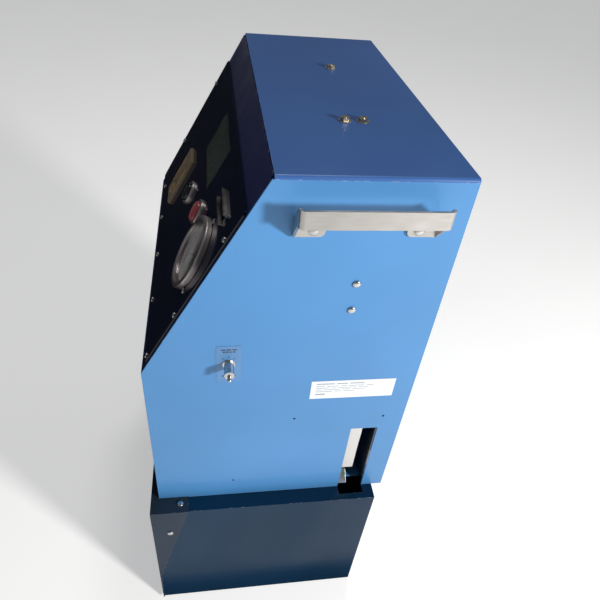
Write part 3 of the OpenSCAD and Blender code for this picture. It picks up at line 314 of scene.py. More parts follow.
def paper(colour):
    """Uncoated paper with fine fibres."""
    material, tree, shader = new_material("finish")
    fibre = mapped_noise(tree, 500, 4, (1, 1, 0.4))
    tone = ramp(tree, fibre, [(0.3, tint(colour, 0.93)), (0.7, colour)])
    tree.links.new(tone, shader.inputs["Base Color"])
    put(shader, "Roughness", 0.75)
    put(shader, "Specular IOR Level", 0.3)
    add_bump(tree, shader, fibre, 0.1, 0.1)
    return material


BRUSHED = (40, 1.2, 40)
# Edge colour for dark paint: chipped paint, and partly a painted edge highlight.
DARK_EDGE_WEAR_AND_HIGHLIGHT = (0.42, 0.45, 0.50)

# Rows are a colour, a roughness, and then what that kind of finish adds.
M = {
    "blue_paint": enamel((0.070, 0.250, 0.54), 0.40, 0.15, 0.10, specular=0.4),
    # The top's blue is blue_paint made darker: painted shade for the top, which the side key light barely
    # reaches.
    "shaded_top_paint": enamel((0.044, 0.135, 0.40), 0.34, 0.12, 0.12, specular=0.4),
    "navy_paint": enamel((0.012, 0.018, 0.085), 0.36, 0.05, 0.12, specular=0.2),
    "plinth_paint": enamel((0.0035, 0.025, 0.060), 0.32, 0.04, 0.22, edge_wear_and_highlight=DARK_EDGE_WEAR_AND_HIGHLIGHT, specular=0.10),
    "cover_paint": enamel((0.016, 0.030, 0.050), 0.36, 0.04, 0.25, edge_wear_and_highlight=DARK_EDGE_WEAR_AND_HIGHLIGHT, specular=0.12),
    "frame_paint": enamel((0.06, 0.065, 0.075), 0.55, 0.0, 0.15),
    "drawer_paint": enamel((0.17, 0.185, 0.21), 0.5, 0.0, 0.08, 0.2),
    "rubber": plastic((0.022, 0.022, 0.024), 0.75, 900, 0.3, 0.2, specular=0.3),
    "overlay_gloss": plastic((0.006, 0.009, 0.026), 0.10, 60, 0.02, 0.1, specular=0.25),
    "stainless": metal((0.50, 0.48, 0.455), 0.36, BRUSHED, 40, 0.12),
    "plated": metal((0.56, 0.56, 0.55), 0.20, EVEN, 120, 0.03),
    "galvanised": metal((0.62, 0.64, 0.66), 0.38, EVEN, 90, 0.05, 55),
    "label": plastic((0.80, 0.83, 0.86), 0.45, 300, 0.03, 0.03),
    "switch_plate": plastic((0.10, 0.25, 0.50), 0.4, 300, 0.03, 0.05),
    "paper": paper((0.70, 0.69, 0.67)),
    "clear": glass((0.97, 0.98, 0.97), 0.04, 1.0),
    "smoked": glass((0.14, 0.17, 0.155), 0.05, 0.9),
    "black_plastic": plastic((0.018, 0.018, 0.02), 0.45),
    "button_black": plastic((0.012, 0.012, 0.014), 0.22, 700, 0.04, coat=0.4),
    "button_red": plastic((0.44, 0.085, 0.10), 0.25, 700, 0.04, coat=0.4),
    "beige_plastic": plastic((0.20, 0.152, 0.093), 0.42),
    "dial_plastic": plastic((0.58, 0.51, 0.52), 0.5, 400, 0.03, 0.05),
    "dial_metal": metal((0.47, 0.425, 0.42), 0.38, EVEN, 200, 0.06),
    "board": plastic((0.012, 0.09, 0.045), 0.35, 300, 0.08, 0.15, 0.3),
    "gear_plastic": plastic((0.75, 0.74, 0.68), 0.45),
    "brass": metal((0.80, 0.60, 0.28), 0.25, EVEN, 200, 0.06),
    "top_bolt": metal((0.52, 0.47, 0.38), 0.32, EVEN, 150, 0.05),
    "plated_dark": metal((0.62, 0.61, 0.59), 0.22, EVEN, 150, 0.03),
    "print_ink": plastic((0.025, 0.027, 0.035), 0.5, 400, 0.02),
    "print_grey": plastic((0.34, 0.36, 0.40), 0.5, 400, 0.02),
    "lcd": plastic((0.065, 0.085, 0.065), 0.2, 500, 0.01, 0.05),
    "lcd_segment": plastic((0.045, 0.06, 0.045), 0.3, 500, 0.01, 0.05),
    "amber_guide": plastic((0.62, 0.34, 0.10), 0.3, 500, 0.02, 0.1, 0.3),
    "guide_steel": metal((0.24, 0.26, 0.29), 0.30, EVEN, 90, 0.05, 30),
    "motor_steel": metal((0.16, 0.16, 0.17), 0.42, EVEN, 150, 0.06),
}
for key, finish_of in M.items():
    finish_of.name = key
# The top panel takes the darker blue, which is painted shade.
OWN_MATERIAL = {"top_panel": "shaded_top_paint", "plinth_cover": "cover_paint", "ticket_guide": "guide_steel"}


def paint_cad_nodes():
    slots = {row["node"]: row["material_slot"] for row in frame["record"]["subparts"]}
    for name, node in frame["nodes"].items():
        material = M[OWN_MATERIAL.get(name, slots[name])]
        if not node.material_slots:
            node.data.materials.append(material)
        for place in node.material_slots:
            place.material = material
        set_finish(node, slots[name])


CURVED_NODES = ("top_panel", "right_handle", "left_handle")
WELD_GAP = 0.01 * MM
FLAT_ANGLE = 0.3
EDGE_ANGLE = 32
THIN_ROUND = 0.7 * MM
PART_ROUND = 0.6 * MM


def soften_edges(width, *names):
    """Rounds the sheet-metal edges of CAD nodes that stay as they are."""
    for name in names:
        node = frame["nodes"][name]
        weld = node.modifiers.new("weld", "WELD")
        weld.merge_threshold = WELD_GAP
        flatten = node.modifiers.new("flatten", "DECIMATE")
        flatten.decimate_type = "DISSOLVE"
        flatten.angle_limit = radians(FLAT_ANGLE)
        bevel = node.modifiers.new("bevel", "BEVEL")
        bevel.width = width
        bevel.segments = 3
        bevel.limit_method = "ANGLE"
        bevel.angle_limit = radians(EDGE_ANGLE)
        if name in CURVED_NODES:
            normals = node.modifiers.new("normals", "WEIGHTED_NORMAL")
            normals.mode = "FACE_AREA"
            normals.weight = 100
        for face in node.data.polygons:
            face.use_smooth = name in CURVED_NODES


paint_cad_nodes()
soften_edges(THIN_ROUND, "right_side", "left_side", "top_panel", "rear_frame", "rear_door", "plinth_shell",
             "plinth_cover", "fascia", "front_panel", "overlay", "floor_plate", "cash_drawer", "coin_chute")
soften_edges(PART_ROUND, "right_handle", "left_handle", "printer_bracket", "ticket_guide", "drawer_runners",
             "base_frame", "power_supply", "coin_unit", "note_unit", "top_bolts", "button_switches")


# ---- Mesh tools ----
#
# From here on, lengths are millimetres until a piece is finished.


SAME_POINT = 0.002
SAME_CAD_POINT = 0.005


def box(node):
    """A CAD node's lowest and highest corners at rest, in millimetres."""
    return tuple(Vector(corner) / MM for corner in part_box(node))


def rescale(mesh, factor):
    bmesh.ops.scale(mesh, vec=(factor, factor, factor), verts=mesh.verts)


def to_metres(mesh, name):
    """Turns a bmesh in millimetres into mesh data in metres, and frees it."""
    data = bpy.data.meshes.new(name)
    bmesh.ops.recalc_face_normals(mesh, faces=mesh.faces)
    rescale(mesh, MM)
    mesh.to_mesh(data)
    mesh.free()
    return data


def shade(data, sharp):
    """Smooth faces, with edges kept sharp above an angle in degrees."""
    for face in data.polygons:
        face.use_smooth = True
    data.set_sharp_from_angle(angle=radians(sharp))


def finish(name, mesh, material, node, sharp=EDGE_ANGLE, slot=None, replaces=True):
    """Turns a bmesh in the row frame into a piece that rides with a CAD node and takes its slot."""
    bmesh.ops.remove_doubles(mesh, verts=mesh.verts, dist=SAME_POINT)
    data = to_metres(mesh, name)
    shade(data, sharp)
    data.materials.append(M[material])
    piece = add_object(name, data)
    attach(piece, frame["nodes"][node]["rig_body"])
    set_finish(piece, slot or frame["nodes"][node]["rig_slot"])
    if replaces:
        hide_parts(node)
    return piece


def add_detail(*values, **named):
    """A piece that stands on a node without replacing it."""
    return finish(*values, **named, replaces=False)


def lathe(mesh, profile, place, steps=64):
    """Adds a turned shape: profile is (radius, height) points, turned round the place's local Z."""
    rings = []
    for radius, height in profile:
        if not radius:
            rings.append([mesh.verts.new(place @ Vector((0, 0, height)))])
            continue
        angles = [2 * pi * k / steps for k in range(steps)]
        rings.append([mesh.verts.new(place @ Vector((radius * cos(a), radius * sin(a), height)))
                      for a in angles])
    for low, high in zip(rings, rings[1:]):
        for k in range(steps):
            near, far = low[k % len(low)], high[k % len(high)]
            corners = list(dict.fromkeys((near, low[(k + 1) % len(low)], high[(k + 1) % len(high)], far)))
            if len(corners) > 2:
                mesh.faces.new(corners)


def turned(name, profile, place, steps, material, node, sharp=35):
    """A whole piece that is one turned shape."""
    mesh = bmesh.new()
    lathe(mesh, profile, place, steps)
    return finish(name, mesh, material, node, sharp)


def prism(mesh, outline, low, high, place, round_by=0.0, segments=2):
    """Adds an outline's extrusion from low to high along the place's local Z, with rounded edges."""
    own = bmesh.new()
    bottom = [own.verts.new((x, y, low)) for x, y in outline]
    top = [own.verts.new((x, y, high)) for x, y in outline]
    own.faces.new(bottom[::-1])
    own.faces.new(top)
    for k in range(len(outline)):
        after = (k + 1) % len(outline)
        own.faces.new((bottom[k], bottom[after], top[after], top[k]))
    if round_by:
        sharp = [e for e in own.edges if e.calc_face_angle(0) > radians(40)]
        bmesh.ops.bevel(own, geom=sharp, offset=round_by, segments=segments, profile=0.5, affect="EDGES")
    merge(mesh, own, place)


def merge(mesh, other, place):
    """Copies another bmesh into mesh at a place, and frees it."""
    made = {v: mesh.verts.new(place @ v.co) for v in other.verts}
    for face in other.faces:
        mesh.faces.new([made[v] for v in face.verts])
    other.free()


def quarter(radius, height, across, up, steps=8):
    """Profile points of a quarter arc, from its widest point up to its top."""
    angles = [pi / 2 * k / steps for k in range(steps + 1)]
    return [(radius + across * cos(a), height + up * sin(a)) for a in angles]


def hexagon(radius):
    return [(radius * cos(pi / 3 * k), radius * sin(pi / 3 * k)) for k in range(6)]


def sweep(mesh, rows):
    """Joins rows of four points into a closed bar, with flat ends."""
    for first, second in zip(rows, rows[1:]):
        for k in range(4):
            mesh.faces.new((first[k], first[(k + 1) % 4], second[(k + 1) % 4], second[k]))
    mesh.faces.new(rows[0][::-1])
    mesh.faces.new(rows[-1])


def block(mesh, low, high, place=Matrix(), round_by=0.0, segments=2):
    outline = [(low[0], low[1]), (high[0], low[1]), (high[0], high[1]), (low[0], high[1])]
    prism(mesh, outline, low[2], high[2], place, round_by, segments)


def rounded(width, height, radius, steps=6):
    """A rectangle round the origin whose corners are arcs."""
    points = []
    for turn, (sx, sy) in enumerate(((1, 1), (-1, 1), (-1, -1), (1, -1))):
        for k in range(steps + 1):
            angle = pi / 2 * (turn + k / steps)
            points.append((sx * (width / 2 - radius) + radius * cos(angle),
                           sy * (height / 2 - radius) + radius * sin(angle)))
    return points


def frame_plate(mesh, outer, inner, low, high, place):
    """Adds a flat ring between two outlines that have the same number of points."""
    count = len(outer)
    rows = [[mesh.verts.new(place @ Vector((x, y, z))) for x, y in outline]
            for outline, z in ((outer, low), (outer, high), (inner, high), (inner, low))]
    for first, second in zip(rows, rows[1:] + rows[:1]):
        for k in range(count):
            after = (k + 1) % count
            mesh.faces.new((first[k], first[after], second[after], second[k]))


def carve(piece, tool_mesh):
    """Cuts a bmesh out of a piece, and applies the cut."""
    tool = add_object("tool", to_metres(tool_mesh, "tool"))
    modifier = piece.modifiers.new("carve", "BOOLEAN")
    modifier.object = tool
    modifier.solver = "EXACT"
    result = bpy.data.meshes.new_from_object(piece.evaluated_get(bpy.context.evaluated_depsgraph_get()))
    piece.modifiers.remove(modifier)
    piece.data = result
    bpy.data.objects.remove(tool)
    shade(result, EDGE_ANGLE)


# ---- Places, all worked out from the frame ----


def joint_row(name):
    return next(row for row in frame["joints"] if row["name"] == name)


def joint_point(name):
    return Vector(joint_row(name)["pos_m"]) / MM


SLOPE_OUT = -Vector(joint_row("dial_pointer_sweep")["axis"])
SLOPE_UP = Vector((0, SLOPE_OUT.z, -SLOPE_OUT.y))
FRONT_Y = box("front_panel")[0].y
SIDE_X = box("right_side")[1].x
DIAL_CENTRE = joint_point("dial_pointer_sweep")
KNEE = DIAL_CENTRE - SLOPE_UP * ((DIAL_CENTRE.y - FRONT_Y) / SLOPE_UP.y)
KNEE.x = 0
SLOPE = Matrix((Vector((1, 0, 0)), SLOPE_UP, SLOPE_OUT)).transposed().to_4x4()
SLOPE.translation = KNEE
TO_SLOPE = SLOPE.inverted()


def at(matrix, x=0.0, y=0.0, z=0.0, turn=0.0):
    """A place inside another: moved along its axes and turned round its Z, in degrees."""
    return matrix @ Matrix.Translation((x, y, z)) @ Matrix.Rotation(radians(turn), 4, "Z")


def place_along(point, direction, up=(0, 0, 1)):
    """A place at a point, whose Z runs along direction and whose Y is as near up as it can be."""
    z = Vector(direction).normalized()
    x = Vector(up).cross(z).normalized()
    matrix = Matrix((x, z.cross(x), z)).transposed().to_4x4()
    matrix.translation = point
    return matrix


def solids(node, into=Matrix()):
    """The (low, high) box of each separate solid in a CAD node, in the frame that into leads to."""
    mesh = bmesh.new()
    mesh.from_mesh(frame["nodes"][node].data)
    rescale(mesh, 1 / MM)
    bmesh.ops.remove_doubles(mesh, verts=mesh.verts, dist=SAME_CAD_POINT)
    boxes, seen = [], set()
    for start in mesh.verts:
        if start in seen:
            continue
        group, queue = [], [start]
        seen.add(start)
        while queue:
            vertex = queue.pop()
            group.append(into @ vertex.co)
            for edge in vertex.link_edges:
                other = edge.other_vert(vertex)
                if other not in seen:
                    seen.add(other)
                    queue.append(other)
        boxes.append((Vector(map(min, zip(*group))), Vector(map(max, zip(*group)))))
    mesh.free()
    return sorted(boxes, key=lambda found: tuple(round(c, 1) for c in found[0]))


def slope_box(node):
    """A CAD node's box in the slope's frame: across, up the slope and out of it."""
    boxes = solids(node, TO_SLOPE)
    lows, highs = zip(*boxes)
    return Vector(map(min, zip(*lows))), Vector(map(max, zip(*highs)))


OVERLAY_OUT = slope_box("overlay")[1].z
FASCIA_IN = slope_box("fascia")[0].z


def side_place(node):
    """The place on the right side under a flat node, then its width, height and top."""
    low, high = box(node)
    place = place_along(Vector((SIDE_X, (low.y + high.y) / 2, (low.z + high.z) / 2)), (1, 0, 0))
    return place, high.y - low.y, high.z - low.z, high.x - SIDE_X


# ---- Screws and bolts ----


def screw_head(radius, height):
    """A pan head on Z = 0 with a crossed recess, as a bmesh."""
    own = bmesh.new()
    dome = quarter(0, height * 0.35, radius, height * 0.65)
    lathe(own, [(0, 0), (radius * 0.97, 0), (radius, height * 0.12), *dome[:-1], (0, height)], Matrix(), 32)
    head = add_object("head", to_metres(own, "head"))
    cross = bmesh.new()
    arm, thin, floor = radius * 0.55, radius * 0.13, height * 0.45
    block(cross, (-arm, -thin, floor), (arm, thin, height * 2))
    block(cross, (-thin, -arm, floor * 1.01), (thin, arm, height * 2.01))
    carve(head, cross)
    own = bmesh.new()
    own.from_mesh(head.data)
    rescale(own, 1 / MM)
    bpy.data.objects.remove(head)
    return own


HEAD_TURN = 37
SHANK_DEPTH = 2.5
# Head sizes are (radius, height, shank radius).
HANDLE_HEAD = (5.3, 3.3, 2.5)
TOP_NUT = (5.8, 3.2, 3.0)
PANEL_HEAD = (4.6, 2.8, 2.2)
SLOPE_HEAD = (3.4, 2.1, 1.5)
TOP_WASHER = 1.0
HANDLE_STRIP = 3.0
LEDGE_SEAT = 2.4


def screws(name, node, places, size, material, washer=0.0, nut=False):
    """One piece with a head, and a washer where asked, at each place. Places have Z out of the panel."""
    radius, height, shank = size
    head = bmesh.new() if nut else screw_head(radius, height)
    if nut:
        prism(head, hexagon(radius), 0, height, Matrix(), radius * 0.08)
        end = height * 1.29
        lathe(head, [(shank, height), (shank, height * 1.25), (shank * 0.8, end), (0, end)], Matrix(), 24)
    template = bpy.data.meshes.new(name + "_head")
    head.to_mesh(template)
    head.free()
    rim = [(shank, 0), (radius * 1.28, 0), (radius * 1.32, washer * 0.4), (radius * 1.25, washer),
           (shank, washer)]
    stem = [(0, -SHANK_DEPTH), (shank * 0.9, -SHANK_DEPTH), (shank, 0.3 - SHANK_DEPTH), (shank, 0.1)]
    mesh = bmesh.new()
    for index, place in enumerate(places):
        copy = bmesh.new()
        copy.from_mesh(template)
        merge(mesh, copy, at(place, z=washer, turn=HEAD_TURN * index))
        if washer:
            lathe(mesh, rim, place, 32)
        lathe(mesh, stem, place, 20)
    bpy.data.meshes.remove(template)
    return finish(name, mesh, material, node, 30)


def head_places(node, axis_index, seat):
    """Places on the plane where axis_index equals seat, one for each solid of a screws node."""
    found = []
    for low, high in solids(node):
        middle = (low + high) / 2
        side = 1 if middle[axis_index] > 0 else -1
        middle[axis_index] = side * seat if axis_index == 0 else seat
        direction = Vector((0, 0, 0))
        direction[axis_index] = side if axis_index == 0 else 1
        found.append(place_along(middle, direction, (0, 1, 0) if axis_index == 2 else (0, 0, 1)))
    return found


def side_screw_place(low, high):
    """Where a side screw's head sits: on the plinth's ledge if it stands upright there, or on a side."""
    middle = (low + high) / 2
    over_ledge = SIDE_X + 5 < abs(middle.x) < SIDE_X + 20
    if over_ledge and high.x - low.x < high.z - low.z < 12:
        middle.z = high.z - LEDGE_SEAT
        return place_along(middle, (0, 0, 1), (0, 1, 0))
    side, seat = (1 if middle.x > 0 else -1), PANEL_HEAD[1]
    middle.x = high.x - seat if side > 0 else low.x + seat
    return place_along(middle, (side, 0, 0))


def add_screws():
    screws("handle_screw_heads", "handle_screws",
           head_places("handle_screws", 0, SIDE_X + HANDLE_STRIP), HANDLE_HEAD, "plated")
    screws("top_bolt_nuts", "top_bolts", head_places("top_bolts", 2, box("top_panel")[1].z), TOP_NUT,
           "top_bolt", washer=TOP_WASHER, nut=True)
    screws("panel_screw_heads", "side_screws", [side_screw_place(*ends) for ends in solids("side_screws")],
           PANEL_HEAD, "plated")
    slope_places = [at(SLOPE, (low.x + high.x) / 2, (low.y + high.y) / 2, OVERLAY_OUT)
                    for low, high in solids("fascia_screws", TO_SLOPE)]
    screws("fascia_screw_heads", "fascia_screws", slope_places, SLOPE_HEAD, "plated")


# ---- Toggle switch ----


BUSH_R = 6.0
WASHER_LOW = 0.5
WASHER_TOP = 1.5
WASHER_TEETH = 28
THREAD_PITCH = 1.0
THREAD_DEPTH = 0.35
BALL_R = 3.55
TIP_R = 2.75
NECK_R = 1.45
LEVER_DROP = radians(12)
TAB_PITCH = 8.0
FILM_LIFT = 0.11
INK = 0.06
# Rows of dashes on the switch film: height, width and number of dashes.
FILM_ROWS = ((24, 20, 3), (20.5, 16, 4), (-21, 18, 3), (-25, 12, 2))
PIVOT = joint_point("toggle_throw")
TOGGLE = place_along(Vector((SIDE_X, PIVOT.y, PIVOT.z)), (1, 0, 0))


def bush_cutter(low, high, steps):
    mesh = bmesh.new()
    lathe(mesh, [(0, low), (BUSH_R, low), (BUSH_R, high), (0, high)], TOGGLE, steps)
    return mesh


def add_toggle_nut():
    """The nut on its toothed washer."""
    low, high = box("toggle_nut")
    radius = (high.z - low.z) / 2
    angles = [pi * k / WASHER_TEETH for k in range(2 * WASHER_TEETH)]
    reach = [radius * (0.99 if k % 2 else 0.93) for k in range(2 * WASHER_TEETH)]
    outer = [(r * cos(a), r * sin(a)) for r, a in zip(reach, angles)]
    inner = [(BUSH_R * cos(a), BUSH_R * sin(a)) for a in angles]
    mesh = bmesh.new()
    frame_plate(mesh, outer, inner, WASHER_LOW, WASHER_TOP, TOGGLE)
    prism(mesh, hexagon(radius), WASHER_TOP, high.x - SIDE_X, TOGGLE, 0.45, 3)
    nut = finish("toggle_hex_nut", mesh, "plated", "toggle_nut", 25)
    carve(nut, bush_cutter(-5, 20, 48))


def add_toggle_bush():
    """The threaded bush, the switch's case and its three tabs."""
    low, high = box("toggle_body")
    end, nut_end = high.x - SIDE_X, box("toggle_nut")[1].x - SIDE_X
    height = nut_end + 0.2
    profile = [(BUSH_R, 0), (BUSH_R, nut_end), (BUSH_R, height)]
    while height < end - 1.2:
        profile += [(BUSH_R - THREAD_DEPTH, height + THREAD_PITCH / 2), (BUSH_R, height + THREAD_PITCH)]
        height += THREAD_PITCH
    profile += [(BUSH_R - 0.9, end), (BUSH_R - 1.8, end), (2.9, end - 3)]
    mesh = bmesh.new()
    lathe(mesh, profile, TOGGLE, 48)
    block(mesh, low, Vector((SIDE_X - 2, high.y, high.z)), round_by=0.8)
    for row in (-1, 0, 1):
        tab = Vector((low.x, PIVOT.y, PIVOT.z + row * TAB_PITCH))
        block(mesh, tab - Vector((7, 0.4, 2.2)), tab + Vector((0.5, 0.4, 2.2)), round_by=0.2)
    finish("toggle_bush", mesh, "plated_dark", "toggle_body", 25)


def add_toggle_lever():
    """The bat lever, from its pivot ball to its round tip."""
    reach = box("toggle_lever")[1].x - PIVOT.x
    end = reach / cos(LEVER_DROP) - 0.4
    along = place_along(PIVOT, (cos(LEVER_DROP), 0, -sin(LEVER_DROP)))
    angles = [radians(-90 + 11 * k) for k in range(1, 15)]
    ball = [(BALL_R * cos(a), BALL_R * sin(a)) for a in angles]
    neck = [(NECK_R, 3.9), (NECK_R * 1.1, end * 0.45), (TIP_R * 0.93, end * 0.74)]
    tip = quarter(0, end - TIP_R, TIP_R, TIP_R)[:-1]
    bat = [(0, -BALL_R), *ball, *neck, *tip, (0, end)]
    turned("toggle_bat", bat, along, 40, "plated", "toggle_lever", 60)


def add_toggle_film():
    """The film under the nut, with dashes in place of words and three rays round the lever."""
    plate, width, height, top = side_place("toggle_plate")
    mesh = bmesh.new()
    prism(mesh, rounded(width, height, 2), 0.02, top - 0.1, plate, 0.1, 1)
    film = finish("toggle_film", mesh, "switch_plate", "toggle_plate", 40)
    carve(film, bush_cutter(-2, 2, 40))
    mesh = bmesh.new()
    face = top - FILM_LIFT
    for y, width, count in FILM_ROWS:
        pitch = width / count
        for k in range(count):
            x = -width / 2 + pitch * (k + 0.5)
            block(mesh, (x - pitch * 0.4, y - 0.9, face), (x + pitch * 0.4, y + 0.9, face + INK), plate)
    for turn in (-38, 0, 38):
        ray = at(plate, 0, PIVOT.z - plate.translation.z, 0, turn)
        block(mesh, (-0.35, 10, face), (0.35, 13.5, face + INK), ray)
    add_detail("toggle_film_marks", mesh, "print_ink", "toggle_plate", 40)


# ---- Information label ----


LABEL_COLUMNS = 48
LABEL_ROWS = 16
LABEL_THICK = 0.28
LABEL_INK = 0.115
LABEL_MARGIN = 7.0
DASH_SCALE = 0.8
DASH_GAP = 3.0
# Rows of dashes: height on the label, half their thickness, and each dash's length.
LABEL_PRINT = ((11.5, 0.9, (30, 18, 24)), (7.0, 0.5, (14, 20, 9, 26, 12)), (3.6, 0.5, (22, 8, 30, 16)),
               (0.2, 0.5, (10, 26, 14, 21)), (-3.2, 0.5, (28, 12, 18)), (-8.5, 1.2, (16,)))


def label_lift(u, v):
    """A label stuck by hand: two faint bubbles and a corner that has started to peel."""
    bubble = 0.10 * exp(-((u - 0.3) ** 2 + (v - 0.6) ** 2) * 60)
    bubble += 0.08 * exp(-((u - 0.74) ** 2 + (v - 0.35) ** 2) * 45)
    return bubble + 0.22 * max(0, u + v - 1.86) / 0.14 * 0.5


def label_layer(mesh, place, width, height, base, lift):
    """One face of the label, as rows of vertices."""
    layer = []
    for j in range(LABEL_ROWS + 1):
        row = []
        for i in range(LABEL_COLUMNS + 1):
            u, v = i / LABEL_COLUMNS, j / LABEL_ROWS
            point = Vector(((u - 0.5) * width, (v - 0.5) * height, base + lift(u, v)))
            row.append(mesh.verts.new(place @ point))
        layer.append(row)
    for first, second in zip(layer, layer[1:]):
        for i in range(LABEL_COLUMNS):
            mesh.faces.new((first[i], first[i + 1], second[i + 1], second[i]))
    return layer


def add_label():
    place, width, height, top = side_place("info_label")
    mesh = bmesh.new()
    back = label_layer(mesh, place, width, height, 0.02, lambda u, v: 0)
    front = label_layer(mesh, place, width, height, LABEL_THICK, label_lift)
    columns, rows = LABEL_COLUMNS, LABEL_ROWS
    rim = [(0, i) for i in range(columns)] + [(j, columns) for j in range(rows)]
    rim += [(rows, i) for i in range(columns, 0, -1)] + [(j, 0) for j in range(rows, 0, -1)]
    for (j, i), (j2, i2) in zip(rim, rim[1:] + rim[:1]):
        mesh.faces.new((back[j][i], back[j2][i2], front[j2][i2], front[j][i]))
    finish("label_sheet", mesh, "label", "info_label", 40)

    mesh = bmesh.new()
    for y, half, dashes in LABEL_PRINT:
        x = -width / 2 + LABEL_MARGIN
        for dash in dashes:
            length = dash * DASH_SCALE
            block(mesh, (x, y - half, LABEL_THICK), (x + length, y + half, LABEL_THICK + LABEL_INK), place)
            x += length + DASH_GAP
    add_detail("label_print", mesh, "print_grey", "info_label", 40)


# ---- Dial ----


DIAL = place_along(DIAL_CENTRE, SLOPE_OUT, SLOPE_UP)
BEZEL_LOW, BEZEL_HIGH = slope_box("dial_bezel")
DIAL_SEAT, DIAL_TOP = BEZEL_LOW.z, BEZEL_HIGH.z
DIAL_R = (BEZEL_HIGH.x - BEZEL_LOW.x) / 2
DIAL_INNER = DIAL_R - 7
DIAL_WELL = DIAL_INNER - 1.5
DIAL_FACE = DIAL_SEAT - 6.8
DIAL_START = 218
DIAL_SWEEP = 256
DIAL_MARKS = 50
DIAL_NUMBERS = 10
NUMBER_SIZE = 5.2
NUMBER_R = DIAL_WELL - 15.2
MARK_R = DIAL_WELL - 6
# Marks are (length, width).
LONG_MARK = (5.2, 0.55)
SHORT_MARK = (2.6, 0.28)
MARK_INK = 0.12
PANE_ARC = 0.35
HUB_TOP = 0.45


def add_dial_case():
    """The rolled bezel, and the housing with its face and two fixing pads."""
    top, inner, well, face = DIAL_TOP, DIAL_INNER, DIAL_WELL, DIAL_FACE
    ring = [(inner - 1.4, DIAL_SEAT), (DIAL_R - 0.6, DIAL_SEAT), (DIAL_R, DIAL_SEAT + 0.5),
            *quarter(DIAL_R - 2.2, top - 2.6, 2.2, 2.2), (DIAL_R - 3.4, top - 0.2), (inner + 1.6, top),
            (inner + 0.9, top - 0.3), (inner - 0.6, top - 2.4), (inner - 1.4, top - 2.6),
            (inner - 1.4, DIAL_SEAT)]
    turned("dial_ring", ring, DIAL, 128, "dial_metal", "dial_bezel")

    back = slope_box("dial_case")[0].z
    mesh = bmesh.new()
    lathe(mesh, [(0, back), (well, back), (inner - 0.3, back + 1.2), (inner - 0.3, DIAL_SEAT),
                 (well, DIAL_SEAT), (well, face + 1.4), (well - 1.2, face + 0.6), (well - 4, face),
                 (2.05, face), (2.05, face - 6)], DIAL, 96)
    for turn in (0, 180):
        block(mesh, (-4, 14, back), (4, 20, back + 0.01), at(DIAL, turn=turn))
    finish("dial_housing", mesh, "dial_plastic", "dial_case", 35)


def add_dial_scale():
    """Marks, the ring that joins them, and numbers from nought."""
    mesh = bmesh.new()
    for k in range(DIAL_MARKS + 1):
        length, width = SHORT_MARK if k % 5 else LONG_MARK
        turn = DIAL_START - DIAL_SWEEP * k / DIAL_MARKS - 90
        block(mesh, (-width / 2, MARK_R - length, DIAL_FACE), (width / 2, MARK_R, DIAL_FACE + MARK_INK),
              at(DIAL, turn=turn))
    outer, inner = MARK_R + 0.7, MARK_R + 0.3
    lathe(mesh, [(outer, DIAL_FACE), (outer, DIAL_FACE + MARK_INK), (inner, DIAL_FACE + MARK_INK),
                 (inner, DIAL_FACE), (outer, DIAL_FACE)], at(DIAL, turn=DIAL_START - DIAL_SWEEP), 160)
    add_detail("dial_scale", mesh, "print_ink", "dial_case", 40)
    numbers = [dial_number(k, DIAL_START - DIAL_SWEEP * k / DIAL_NUMBERS) for k in range(DIAL_NUMBERS + 1)]
    join_into(numbers, "dial_numbers", "print_ink", "dial_case")


def add_dial_pane():
    low, high = slope_box("dial_glass")
    dome = []
    for k in range(8, 0, -1):
        angle = PANE_ARC * k / 8
        share = (cos(angle) - cos(PANE_ARC)) / (1 - cos(PANE_ARC))
        dome.append((DIAL_WELL * sin(angle) / sin(PANE_ARC), high.z - 0.9 + 0.85 * share))
    pane = [(0, low.z + 0.2), (DIAL_WELL, low.z + 0.2), *dome, (0, high.z - 0.05)]
    turned("dial_pane", pane, DIAL, 96, "clear", "dial_glass")


def add_needle():
    """The stepped hub, and a blade with a short tail."""
    mesh = bmesh.new()
    lathe(mesh, [(0, -7), (1.9, -7), (1.9, -2.0), (3.9, -2.0), (3.9, -0.6), (3.2, HUB_TOP), (1.2, HUB_TOP),
                 (0.9, HUB_TOP - 0.4), (0, HUB_TOP - 0.4)], DIAL, 40)
    edge = [(-9, 1.5), (-7.6, 1.9), (0, 1.1), (22, 0.7)]
    blade = [(x, -y) for x, y in edge] + [(30, 0)] + edge[::-1]
    prism(mesh, blade, -1.55, -0.7, at(DIAL, turn=DIAL_START), 0.15, 1)
    finish("dial_needle", mesh, "button_black", "dial_pointer", 35)


def dial_number(value, angle):
    curve = bpy.data.curves.new("number", "FONT")
    curve.body = str(value)
    curve.size = NUMBER_SIZE
    curve.align_x = curve.align_y = "CENTER"
    curve.extrude = INK
    text = add_object("number", curve)
    turn = radians(angle)
    text.matrix_world = at(DIAL, NUMBER_R * cos(turn), NUMBER_R * sin(turn), DIAL_FACE + 0.05)
    return text


def join_into(objects, name, material, node):
    """Makes one mesh piece of several text objects, and removes them."""
    mesh = bmesh.new()
    bpy.context.view_layer.update()
    graph = bpy.context.evaluated_depsgraph_get()
    for item in objects:
        data = bpy.data.meshes.new_from_object(item.evaluated_get(graph))
        own = bmesh.new()
        own.from_mesh(data)
        merge(mesh, own, item.matrix_world.copy())
        bpy.data.meshes.remove(data)
        bpy.data.objects.remove(item)
    return add_detail(name, mesh, material, node, 30)


# ---- Display, inlets and buttons ----


CELLS = 8
CELL_PITCH = 11.5
CELL_ROWS = (11, -3)
CELL_SIZE = (7, 10.5)
BAR_THICK = 1.0
BAR_GAP = 0.35
BAR_RISE = 0.05
NOTE_SLOT = 34.0
COIN_SLOT = (32.0, 3.2)
ARROWS = 4
ARROW_PITCH = 4.2
RAIL_OUT = 6.0


def slope_place(node):
    """The place over a node's middle on the slope, then its width, height and top."""
    low, high = slope_box(node)
    middle = at(SLOPE, (low.x + high.x) / 2, (low.y + high.y) / 2)
    return middle, high.x - low.x, high.y - low.y, high.z


